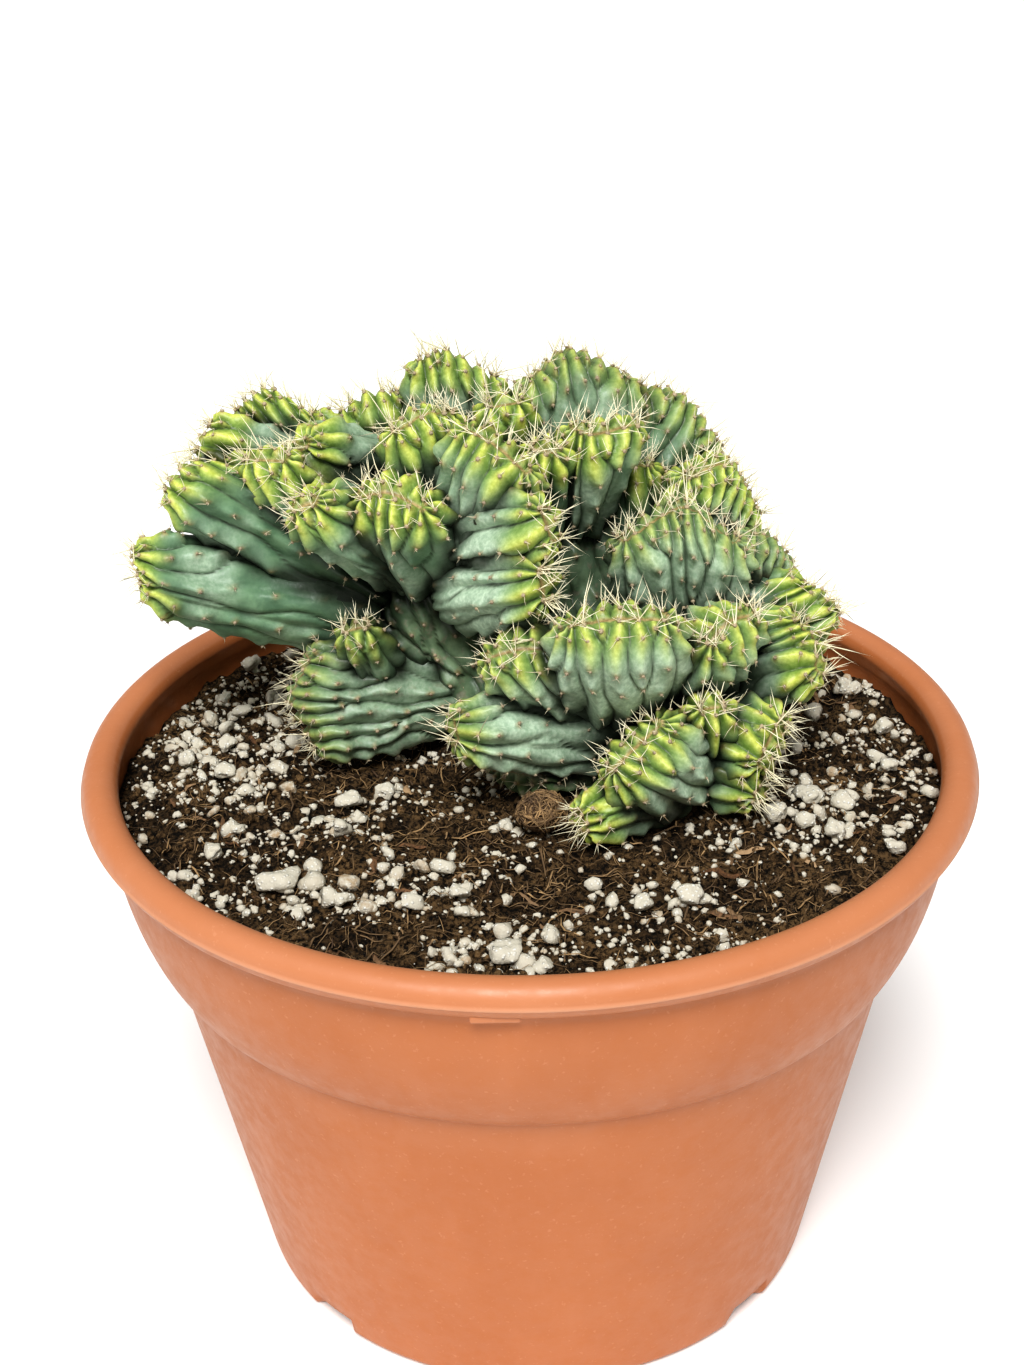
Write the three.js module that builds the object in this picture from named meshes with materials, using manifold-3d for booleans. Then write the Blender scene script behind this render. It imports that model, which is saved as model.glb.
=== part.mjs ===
// A crested blue candle cactus in a nursery pot: a fused, many-lobed stem that stands in potting mix,
// with loose perlite grains, bark chips and a tuft of fibre on top.
// Millimetres, +Z up. The origin is the centre of the pot's flat bottom.

import * as THREE from "three";
import { mergeVertices } from "three/addons/utils/BufferGeometryUtils.js";
import Module from "manifold-3d";

const wasm = await Module();
wasm.setup();

// ---- Driving dimensions ----

const RIM_RADIUS = 127;
const RIM_BEAD_RADIUS = 5;
const RIM_BEAD_Z = 163;
const COLLAR_TOP_RADIUS = 121.6;
const COLLAR_BOTTOM_RADIUS = 110.2;
const COLLAR_BOTTOM_Z = 114.5;
const COLLAR_STEP = 2.4;
const BASE_RADIUS = 87.6;
const BASE_CORNER_RADIUS = 4;
const POT_WALL = 2;
const POT_FLOOR = 2.4;
const WALL_SEGMENTS = 40;

const DRAIN_SLOTS = 4;
const DRAIN_SLOT_WIDTH = 17;
const DRAIN_SLOT_HEIGHT = 4;
const DRAIN_SLOT_DEPTH = 12;

const RIM_TAB = { width: 12, depth: 4, height: 2.4, x: -10 };

const SOIL_Z = 154;
const SOIL_EDGE_MARGIN = 9;
const FIT_GAP = 0.35;
const STEM_GAP = 0.45;

// ---- Colours and finishes ----

const TERRACOTTA = { color: 0xbd6a44, roughness: 0.5, metalness: 0 };
const PEAT = { color: 0x32261d, roughness: 0.95, metalness: 0 };
const CACTUS_SKIN = { color: 0x5f8a62, roughness: 0.6, metalness: 0 };
const PERLITE = { color: 0xf2f0ea, roughness: 0.9, metalness: 0 };
const BARK = { color: 0x5a3b26, roughness: 0.9, metalness: 0 };
const FIBRE = { color: 0x6b4a2c, roughness: 0.95, metalness: 0 };

// ---- Helpers ----

function solidFrom(geometry) {
  const bare = geometry.index ? geometry.toNonIndexed() : geometry.clone();
  bare.deleteAttribute("normal");
  bare.deleteAttribute("uv");
  const merged = mergeVertices(bare, 1e-4);
  const mesh = new wasm.Mesh({
    numProp: 3,
    vertProperties: new Float32Array(merged.attributes.position.array),
    triVerts: new Uint32Array(merged.index.array),
  });
  return new wasm.Manifold(mesh);
}

function geometryFrom(solid) {
  const mesh = solid.getMesh();
  const geometry = new THREE.BufferGeometry();
  geometry.setAttribute("position", new THREE.BufferAttribute(mesh.vertProperties, 3));
  geometry.setIndex(new THREE.BufferAttribute(mesh.triVerts, 1));
  geometry.computeVertexNormals();
  return geometry;
}

function arcPoints(centreX, centreY, radius, fromDegrees, toDegrees, steps) {
  const points = [];
  for (let i = 0; i <= steps; i++) {
    const angle = THREE.MathUtils.degToRad(fromDegrees + ((toDegrees - fromDegrees) * i) / steps);
    points.push(new THREE.Vector2(centreX + radius * Math.cos(angle), centreY + radius * Math.sin(angle)));
  }
  return points;
}

// A solid of revolution about +Z; the profile runs from the bottom of the axis, out, up and back in.
function turned(profile) {
  return new THREE.LatheGeometry(profile, WALL_SEGMENTS).rotateX(Math.PI / 2);
}

function part(name, geometry, finish) {
  const mesh = new THREE.Mesh(geometry, new THREE.MeshStandardMaterial(finish));
  mesh.name = name;
  return mesh;
}

// ---- Pot ----

// The shoulder band swells from its lower edge to just under the rim.
function collarPoints(inset) {
  const bottom = new THREE.Vector2(COLLAR_BOTTOM_RADIUS - inset, COLLAR_BOTTOM_Z);
  const belly = new THREE.Vector2(COLLAR_TOP_RADIUS - inset - 2, COLLAR_BOTTOM_Z + 14);
  const top = new THREE.Vector2(COLLAR_TOP_RADIUS - inset, RIM_BEAD_Z - RIM_BEAD_RADIUS);
  return new THREE.QuadraticBezierCurve(bottom, belly, top).getPoints(4);
}

function potProfile() {
  const beadRadius = RIM_RADIUS - RIM_BEAD_RADIUS;
  const cornerCentre = BASE_RADIUS - BASE_CORNER_RADIUS;
  const corner = arcPoints(cornerCentre, BASE_CORNER_RADIUS, BASE_CORNER_RADIUS, -90, -5, 3);
  const innerWallTop = new THREE.Vector2(
    COLLAR_BOTTOM_RADIUS - COLLAR_STEP - POT_WALL,
    COLLAR_BOTTOM_Z - POT_WALL,
  );
  return [
    new THREE.Vector2(0, 0),
    ...corner,
    new THREE.Vector2(COLLAR_BOTTOM_RADIUS - COLLAR_STEP, COLLAR_BOTTOM_Z - 0.6),
    ...collarPoints(0),
    ...arcPoints(beadRadius, RIM_BEAD_Z, RIM_BEAD_RADIUS, -75, 180, 9),
    ...collarPoints(POT_WALL).reverse(),
    innerWallTop,
    new THREE.Vector2(BASE_RADIUS - POT_WALL, POT_FLOOR),
    new THREE.Vector2(0, POT_FLOOR),
  ];
}

// Four slots through the corner between wall and floor let water out.
function drainSlot(index) {
  const slot = new THREE.BoxGeometry(DRAIN_SLOT_DEPTH, DRAIN_SLOT_WIDTH, DRAIN_SLOT_HEIGHT * 2);
  slot.translate(BASE_RADIUS, 0, 0);
  slot.rotateZ(((index + 0.5) * 2 * Math.PI) / DRAIN_SLOTS);
  return solidFrom(slot);
}

// A small moulded block under the front of the rim.
function rimTab() {
  const tab = new THREE.BoxGeometry(RIM_TAB.width, RIM_TAB.depth, RIM_TAB.height);
  const y = -Math.sqrt((RIM_RADIUS - 2) ** 2 - RIM_TAB.x ** 2) + RIM_TAB.depth / 2;
  tab.translate(RIM_TAB.x, y, RIM_BEAD_Z - RIM_BEAD_RADIUS + 1);
  return solidFrom(tab);
}

function makePot() {
  let pot = solidFrom(turned(potProfile())).add(rimTab());
  for (let i = 0; i < DRAIN_SLOTS; i++) pot = pot.subtract(drainSlot(i));
  return pot;
}

// ---- Stem ----

// Each lobe is a stem tip whose growing point is stretched into a crest. "crest" runs along that
// growing edge, "root" is where the lobe leaves its parent, "head" and "neck" are its half thicknesses
// at those two places, "wide" is half its width at the root and "bow" bends the stretch between.
const LOBES = [
  {
    name: "left_fan_upper",
    crest: [[-99, 14, 239], [-93, 16, 245], [-84, 20, 244]],
    root: [-41, 25, 203], head: 10, neck: 11, wide: 6,
  },
  {
    name: "left_fan_lower",
    crest: [[-108, 9, 213], [-110, 9, 221]],
    root: [-45, 24, 196], head: 10, neck: 12, wide: 5, bow: [0, 0, -3],
  },
  {
    name: "left_back_tip",
    crest: [[-91, 25, 247], [-88, 28, 251]],
    root: [-62, 32, 236], head: 8, neck: 9, wide: 2,
  },
  {
    name: "left_back_crest",
    crest: [[-80, 38, 254], [-72, 40, 258], [-61, 42, 249]],
    root: [-54, 38, 228], head: 8, neck: 9, wide: 4,
  },
  {
    name: "left_star",
    crest: [[-64, 17, 247], [-60, 16, 250]],
    root: [-36, 34, 234], head: 9.5, neck: 9, wide: 2,
  },
  {
    name: "left_small",
    crest: [[-75, 12, 248], [-66, 10, 248]],
    root: [-56, 20, 220], head: 8, neck: 8, wide: 2,
  },
  {
    name: "left_round",
    crest: [[-61, -7, 241], [-57, -7, 242]],
    root: [-36, 14, 216], head: 11, neck: 10, wide: 2,
  },
  {
    name: "left_front_crest",
    crest: [[-43, -7, 244], [-36, -8, 245], [-28, -9, 241]],
    root: [-30, 14, 212], head: 10, neck: 10, wide: 5,
  },
  {
    name: "centre_spiny",
    crest: [[-34, 8, 257], [-27, 12, 260], [-21, 15, 259]],
    root: [-26, 20, 224], head: 8.5, neck: 9, wide: 4,
  },
  {
    name: "centre_tall",
    crest: [[-14, 3, 258], [-7, -1, 255], [0, -4, 249]],
    root: [-18, 14, 214], head: 10, neck: 11, wide: 5,
  },
  {
    name: "centre_upper_star",
    crest: [[5, -13, 240], [7, -14, 234]],
    root: [-20, 10, 222], head: 9.5, neck: 10, wide: 3,
  },
  {
    name: "centre_lower_star",
    crest: [[4, -17, 224], [5, -18, 218]],
    root: [-19, 8, 208], head: 10.5, neck: 11, wide: 3,
  },
  {
    name: "middle_star",
    crest: [[4, 7, 251], [8, 7, 250]],
    root: [5, 24, 222], head: 7, neck: 7, wide: 2,
  },
  {
    name: "middle_back_star",
    crest: [[-8, 20, 259], [-2, 20, 260]],
    root: [-4, 28, 235], head: 7.5, neck: 8, wide: 2,
  },
  {
    name: "middle_crest",
    crest: [[15, 14, 254], [20, 13, 253], [30, 17, 254]],
    root: [14, 28, 220], head: 8, neck: 7, wide: 3,
  },
  {
    name: "top_left_crest",
    crest: [[-28, 40, 266], [-21, 41, 268], [-9, 42, 260]],
    root: [-18, 38, 230], head: 8, neck: 9, wide: 6,
  },
  {
    name: "back_left_crest",
    crest: [[-51, 44, 250], [-45, 46, 254], [-38, 46, 254]],
    root: [-35, 40, 226], head: 8.5, neck: 9, wide: 4,
  },
  {
    name: "top_crest",
    crest: [[3, 40, 260], [14, 45, 266], [29, 45, 259]],
    root: [14, 36, 230], head: 10, neck: 10, wide: 8,
  },
  {
    name: "top_right_crest",
    crest: [[33, 48, 254], [47, 50, 250], [57, 48, 237]],
    root: [28, 42, 220], head: 9, neck: 10, wide: 5,
  },
  {
    name: "right_back_crest",
    crest: [[47, 27, 234], [59, 32, 236], [67, 34, 222]],
    root: [44, 36, 208], head: 9, neck: 10, wide: 5,
  },
  {
    name: "hollow_star",
    crest: [[29, 30, 238], [35, 30, 237]],
    root: [30, 38, 206], head: 9, neck: 10, wide: 3,
  },
  {
    name: "old_fan",
    crest: [[28, 4, 225], [39, 6, 232], [46, 6, 233], [58, 8, 222]],
    root: [46, 14, 186], head: 9.5, neck: 11, wide: 6,
  },
  {
    name: "old_side_lobe",
    crest: [[66, 23, 218], [71, 25, 216], [75, 27, 210]],
    root: [58, 24, 188], head: 8, neck: 9, wide: 3,
  },
  {
    name: "front_crest",
    crest: [[12, -31, 216], [24, -32, 218], [35, -31, 217]],
    root: [25, -2, 180], head: 11, neck: 11, wide: 8, bow: [0, -8, -5],
  },
  {
    name: "front_right_crest",
    crest: [[49, -25, 207], [54, -21, 211], [60, -17, 211]],
    root: [46, 2, 180], head: 10, neck: 10, wide: 5, bow: [0, -2, -2],
  },
  {
    name: "right_tip",
    crest: [[80, 14, 205], [84, 12, 204], [88, 8, 201]],
    root: [58, 14, 188], head: 9, neck: 10, wide: 4,
  },
  {
    name: "right_crest",
    crest: [[75, -4, 202], [80, -8, 199], [80, -14, 193]],
    root: [54, 4, 180], head: 9.5, neck: 11, wide: 5,
  },
  {
    name: "right_low_stars",
    crest: [[69, -23, 180], [66, -28, 178], [63, -33, 174]],
    root: [48, -6, 170], head: 9.5, neck: 11, wide: 4,
  },
  {
    name: "right_ground",
    crest: [[64, -30, 166], [62, -34, 164]],
    root: [44, -10, 165], head: 9.5, neck: 9, wide: 2,
  },
  {
    name: "front_low_crest",
    crest: [[22, -44, 180], [28, -40, 184], [34, -35, 187]],
    root: [46, -16, 160], head: 11, neck: 10, wide: 4, bow: [0, -4, -3],
  },
  {
    name: "front_star",
    crest: [[47, -31, 190], [51, -30, 190]],
    root: [46, -12, 165], head: 8.5, neck: 9, wide: 2,
  },
  {
    name: "front_ground_star",
    crest: [[13, -46, 166], [14, -47, 163]],
    root: [36, -26, 163], head: 8, neck: 9, wide: 2,
  },
  {
    name: "front_left_low",
    crest: [[-20, -31, 182], [-21, -30, 187]],
    root: [22, -6, 172], head: 9.5, neck: 11, wide: 4, bow: [0, 0, -3],
  },
  {
    name: "front_left_crest",
    crest: [[-10, -27, 205], [-3, -27, 207], [4, -27, 207]],
    root: [22, -2, 174], head: 10, neck: 12, wide: 6,
  },
  {
    name: "ground_centre",
    crest: [[-9, -15, 163], [3, -19, 163]],
    root: [16, 2, 160], head: 8, neck: 9, wide: 3,
  },
  {
    name: "left_pup",
    crest: [[-62, 0, 165], [-68, 3, 178], [-63, 6, 188]],
    root: [-22, 20, 170], head: 9, neck: 11, wide: 5,
  },
  {
    name: "left_pup_star",
    crest: [[-50, 0, 201], [-46, 0, 202]],
    root: [-42, 14, 178], head: 7, neck: 7, wide: 2,
  },
  {
    name: "left_trunk",
    crest: [[-46, 25, 198], [-34, 24, 212], [-22, 24, 224]],
    root: [8, 20, 136], head: 12, neck: 14, wide: 8,
  },
  {
    name: "right_trunk",
    crest: [[30, 8, 190], [44, 10, 192], [58, 14, 188]],
    root: [22, 12, 134], head: 12, neck: 15, wide: 12,
  },
  {
    name: "back_trunk",
    crest: [[-20, 37, 232], [8, 38, 236], [34, 40, 230]],
    root: [12, 22, 134], head: 11, neck: 14, wide: 12,
  },
  {
    name: "rear_left_crest",
    crest: [[-50, 64, 230], [-40, 70, 234], [-28, 70, 234]],
    root: [-15, 42, 205], head: 10, neck: 11, wide: 5,
  },
  {
    name: "rear_crest",
    crest: [[-10, 76, 230], [2, 80, 232], [14, 78, 234]],
    root: [4, 44, 200], head: 10, neck: 11, wide: 6,
  },
  {
    name: "rear_right_crest",
    crest: [[30, 72, 230], [42, 72, 228], [51, 66, 220]],
    root: [24, 46, 196], head: 10, neck: 11, wide: 5,
  },
  {
    name: "rear_left_star",
    crest: [[-72, 56, 222], [-70, 58, 216]],
    root: [-36, 36, 200], head: 9, neck: 10, wide: 3,
  },
  {
    name: "rear_right_star",
    crest: [[64, 58, 206], [66, 58, 200]],
    root: [38, 40, 188], head: 9, neck: 10, wide: 3,
  },
  {
    name: "rear_low_crest",
    crest: [[-26, 76, 196], [-14, 82, 200], [0, 82, 196]],
    root: [-4, 44, 176], head: 10, neck: 11, wide: 5,
  },
  {
    name: "rear_low_right",
    crest: [[28, 74, 190], [38, 70, 186]],
    root: [18, 40, 172], head: 10, neck: 10, wide: 3,
  },
  {
    name: "rear_pup",
    crest: [[-42, 62, 172], [-36, 66, 174]],
    root: [-8, 34, 162], head: 9, neck: 10, wide: 3,
  },
];

const CREST_STEP = 12;
const ROW_STEP = 18;
const CAP_STEPS = 3;
const DOME_STEPS = [0, 0.5, 1];
const CREST_END_TAPER = 0.25;

const vector = (xyz) => new THREE.Vector3(...xyz);

// Distances from the crest and half thicknesses of the rings that make up one lobe.
function lobeRings(lobe, length, swell) {
  const rings = DOME_STEPS.map((step) => {
    const angle = (step * Math.PI) / 2;
    return { depth: lobe.head * (1 - Math.cos(angle)), half: lobe.head * Math.sin(angle) };
  });
  const bodyRows = Math.max(1, Math.round((length - lobe.head) / ROW_STEP));
  for (let row = 1; row <= bodyRows; row++) {
    const along = row / bodyRows;
    const blend = THREE.MathUtils.smoothstep(along, 0, 1);
    rings.push({
      depth: THREE.MathUtils.lerp(lobe.head, length, along),
      half: THREE.MathUtils.lerp(lobe.head, lobe.neck, blend),
    });
  }
  return rings.map((ring) => ({ depth: ring.depth, half: ring.half > 0 ? ring.half + swell : 0 }));
}

// One closed lobe, thickened all round by "swell".
function lobeSolid(lobe, swell) {
  const crestEnds = [vector(lobe.crest[0]), vector(lobe.crest.at(-1))];
  const crest = new THREE.CatmullRomCurve3(lobe.crest.map(vector), false, "catmullrom", 0.5);
  const root = vector(lobe.root);
  const middle = crest.getPoint(0.5);
  const axis = middle.clone().sub(root).normalize();
  const side = crestEnds[1].clone().sub(crestEnds[0]);
  side.addScaledVector(axis, -side.dot(axis)).normalize();
  const length = middle.distanceTo(root);
  const bow = vector(lobe.bow ?? [0, 0, 0]);
  const columns = Math.max(1, Math.round(crest.getLength() / CREST_STEP));

  const flowLines = [];
  for (let i = 0; i <= columns; i++) {
    const across = i / columns;
    const start = crest.getPoint(across).addScaledVector(axis, swell);
    const end = root.clone().addScaledVector(side, lobe.wide * (2 * across - 1));
    end.addScaledVector(axis, -2 * swell);
    const control = start.clone().lerp(end, 0.5).add(bow);
    flowLines.push(new THREE.QuadraticBezierCurve3(start, control, end));
  }

  const positions = [];
  const rings = lobeRings(lobe, length, swell);
  for (const ring of rings) {
    const frames = flowLines.map((line, i) => {
      const at = Math.min(ring.depth / length, 1);
      const before = flowLines[Math.max(i - 1, 0)].getPoint(at);
      const after = flowLines[Math.min(i + 1, columns)].getPoint(at);
      const along = after.sub(before).normalize().add(side).normalize();
      const flow = line.getTangent(at).negate();
      const normal = along.cross(flow).normalize();
      const taper = 1 - CREST_END_TAPER * Math.abs((2 * i) / columns - 1) ** 3;
      return { centre: line.getPoint(at), normal, out: flow.clone().cross(normal), half: ring.half * taper };
    });
    const push = (frame, cos, sin) => {
      const point = frame.centre.clone();
      point.addScaledVector(frame.normal, cos * frame.half).addScaledVector(frame.out, sin * frame.half);
      positions.push(point);
    };
    const last = frames[columns];
    for (const frame of frames) push(frame, 1, 0);
    for (let k = 1; k < CAP_STEPS; k++) {
      const turn = (Math.PI * k) / CAP_STEPS;
      push(last, Math.cos(turn), Math.sin(turn));
    }
    for (const frame of [...frames].reverse()) push(frame, -1, 0);
    for (let k = 1; k < CAP_STEPS; k++) {
      const turn = (Math.PI * k) / CAP_STEPS;
      push(frames[0], -Math.cos(turn), -Math.sin(turn));
    }
  }
  return solidFrom(ringsGeometry(positions, rings.length));
}

// Skins stacked rings of points. The first ring has shrunk to the crest line.
// The last is closed by a fan.
function ringsGeometry(positions, ringCount) {
  const around = positions.length / ringCount;
  const triangles = [];
  const corner = (ring, i) => ring * around + (i % around);
  for (let ring = 0; ring < ringCount - 1; ring++) {
    for (let i = 0; i < around; i++) {
      triangles.push(corner(ring, i), corner(ring + 1, i + 1), corner(ring, i + 1));
      triangles.push(corner(ring, i), corner(ring + 1, i), corner(ring + 1, i + 1));
    }
  }
  const foot = new THREE.Vector3();
  for (let i = 0; i < around; i++) foot.add(positions[corner(ringCount - 1, i)]);
  const points = [...positions, foot.divideScalar(around)];
  for (let i = 0; i < around; i++) {
    triangles.push(corner(ringCount - 1, i + 1), corner(ringCount - 1, i), points.length - 1);
  }
  const geometry = new THREE.BufferGeometry().setFromPoints(points);
  geometry.setIndex(triangles);
  return geometry;
}

// The joined lobes, without the specks of empty space that their faces can close off between them.
function makeStem(swell) {
  const bodies = wasm.Manifold.union(LOBES.map((lobe) => lobeSolid(lobe, swell))).decompose();
  return bodies.reduce((largest, body) => (body.volume() > largest.volume() ? body : largest));
}

// ---- Potting mix ----

function soilHeight(x, y) {
  const ripple = 1.1 * Math.sin(x / 17 + 0.6) * Math.cos(y / 21) + 0.8 * Math.sin((x + 2 * y) / 26);
  return SOIL_Z + ripple;
}

function makePottingMix(stem) {
  const collar = collarPoints(POT_WALL + FIT_GAP).filter((point) => point.y < SOIL_Z - 4);
  const edgeRadius = COLLAR_TOP_RADIUS - POT_WALL - FIT_GAP - 0.4;
  const topRadii = [96, 72, 48, 24];
  const profile = [
    new THREE.Vector2(0, POT_FLOOR + FIT_GAP),
    new THREE.Vector2(BASE_RADIUS - POT_WALL - 2 * FIT_GAP, POT_FLOOR + FIT_GAP),
    new THREE.Vector2(COLLAR_BOTTOM_RADIUS - COLLAR_STEP - POT_WALL - 2 * FIT_GAP, COLLAR_BOTTOM_Z - POT_WALL),
    ...collar,
    new THREE.Vector2(edgeRadius, SOIL_Z),
    ...topRadii.map((radius) => new THREE.Vector2(radius, SOIL_Z)),
    new THREE.Vector2(0, SOIL_Z),
  ];
  const geometry = turned(profile);
  const position = geometry.attributes.position;
  for (let i = 0; i < position.count; i++) {
    const x = position.getX(i);
    const y = position.getY(i);
    const isTop = position.getZ(i) > SOIL_Z - 0.01 && Math.hypot(x, y) < edgeRadius - SOIL_EDGE_MARGIN;
    if (isTop) position.setZ(i, soilHeight(x, y));
  }
  return solidFrom(geometry).subtract(stem);
}

// ---- Loose pieces on the mix ----

// Perlite grains: place, long size and height.
const PERLITE_GRAINS = [
  [-67, -60, 14, 7], [-7, -93, 11, 6], [2, -99, 8, 5], [-42, -13, 7, 6], [-52, -37, 8, 7], [68, -31, 9, 6],
  [78, -22, 10, 6], [87, -27, 9, 6], [83, -42, 9, 6], [97, -49, 7, 6], [106, 16, 8, 6], [104, -5, 7, 5],
  [99, 43, 9, 6], [-88, -3, 8, 5], [-100, 4, 7, 5], [-51, -18, 9, 5], [-90, 14, 8, 5], [-19, -68, 7, 5],
  [-32, -72, 8, 5], [40, -72, 9, 6], [28, -74, 7, 5], [-50, -69, 8, 5], [-86, -43, 8, 5], [-89, 69, 9, 5],
];

// Bark chips: place, length and turn about the vertical in degrees.
const BARK_CHIPS = [
  [58, -58, 12, 25],
  [9, -71, 11, 130],
  [-93, 44, 12, 70],
  [103, -24, 9, 15],
  [-26, -42, 9, 155],
  [-70, -88, 10, 100],
];
const BARK_THICKNESS = 1.8;

const FIBRE_TUFT = { x: 3, y: -35, width: 15, depth: 13, height: 7 };

function restOnMix(geometry, x, y) {
  geometry.computeBoundingBox();
  const clearance = 1.6;
  geometry.translate(x, y, soilHeight(x, y) + clearance - geometry.boundingBox.min.z);
  return geometry;
}

function perliteGrain([x, y, size, height], index) {
  const grain = new THREE.DodecahedronGeometry(0.5);
  grain.rotateX(index * 1.3).rotateY(index * 0.7);
  grain.scale(size, size * 0.8, height);
  grain.rotateZ(index * 2.1);
  return restOnMix(grain, x, y);
}

function barkChip([x, y, size, turn]) {
  const outline = new THREE.Shape([
    new THREE.Vector2(-0.5, -0.12),
    new THREE.Vector2(0.1, -0.24),
    new THREE.Vector2(0.5, -0.05),
    new THREE.Vector2(0.3, 0.2),
    new THREE.Vector2(-0.35, 0.16),
  ]);
  const chip = new THREE.ExtrudeGeometry(outline, { depth: 1, bevelEnabled: false });
  chip.scale(size, size, BARK_THICKNESS).rotateZ(THREE.MathUtils.degToRad(turn));
  return restOnMix(chip, x, y);
}

function fibreTuft() {
  const tuft = new THREE.IcosahedronGeometry(0.5, 1);
  tuft.scale(FIBRE_TUFT.width, FIBRE_TUFT.depth, FIBRE_TUFT.height);
  return restOnMix(tuft, FIBRE_TUFT.x, FIBRE_TUFT.y);
}

// ---- Assembly ----

const pottedCactus = new THREE.Group();
pottedCactus.add(part("pot", geometryFrom(makePot()), TERRACOTTA));
pottedCactus.add(part("potting_mix", geometryFrom(makePottingMix(makeStem(STEM_GAP))), PEAT));
pottedCactus.add(part("crested_stem", geometryFrom(makeStem(0)), CACTUS_SKIN));

PERLITE_GRAINS.forEach((grain, index) => {
  const name = `perlite_grain_${String(index + 1).padStart(2, "0")}`;
  pottedCactus.add(part(name, perliteGrain(grain, index), PERLITE));
});
BARK_CHIPS.forEach((chip, index) => {
  pottedCactus.add(part(`bark_chip_${index + 1}`, barkChip(chip), BARK));
});
pottedCactus.add(part("fibre_tuft", fibreTuft(), FIBRE));

export default pottedCactus;
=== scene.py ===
"""Looks of a crested blue candle cactus in a nursery pot.

Lengths in the tables below are millimetres in the CAD frame, and MM turns them into metres.
"""
import math
from collections import namedtuple

import bmesh
import bpy
import numpy as np
from mathutils import Matrix, Vector


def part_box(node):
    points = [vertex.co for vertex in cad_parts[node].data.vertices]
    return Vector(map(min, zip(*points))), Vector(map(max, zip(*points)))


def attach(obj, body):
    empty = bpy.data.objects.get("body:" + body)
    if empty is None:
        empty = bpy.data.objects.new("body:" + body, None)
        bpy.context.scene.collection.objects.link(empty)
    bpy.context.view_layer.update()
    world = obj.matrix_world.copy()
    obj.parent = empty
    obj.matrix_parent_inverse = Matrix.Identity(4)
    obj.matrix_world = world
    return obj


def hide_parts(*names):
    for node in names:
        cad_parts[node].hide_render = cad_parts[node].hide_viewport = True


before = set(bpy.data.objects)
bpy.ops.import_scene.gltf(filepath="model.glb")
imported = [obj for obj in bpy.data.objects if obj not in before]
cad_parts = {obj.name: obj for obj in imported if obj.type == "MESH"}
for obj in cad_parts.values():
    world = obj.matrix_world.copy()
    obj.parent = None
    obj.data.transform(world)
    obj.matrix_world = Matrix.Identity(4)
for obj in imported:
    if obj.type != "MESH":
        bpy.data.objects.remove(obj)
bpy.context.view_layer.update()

MM = 0.001
SEED = 41

# ---- Sizes shared with the CAD model ----

RIM_RADIUS = 127.0
RIM_BEAD_RADIUS = 5.0
RIM_BEAD_Z = 163.0
COLLAR_TOP_RADIUS = 121.6
COLLAR_BOTTOM_RADIUS = 110.2
COLLAR_BOTTOM_Z = 114.5
COLLAR_STEP = 2.4
BASE_RADIUS = 87.6
BASE_CORNER_RADIUS = 4.0
POT_WALL = 2.0
POT_FLOOR = 2.4
DRAIN_SLOTS = 4
DRAIN_SLOT_WIDTH = 17.0
DRAIN_SLOT_HEIGHT = 4.0
RIM_TAB_WIDTH = 12.0
RIM_TAB_X = -10.0
SOIL_Z = 154.0
SOIL_RADIUS = 118.9

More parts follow.
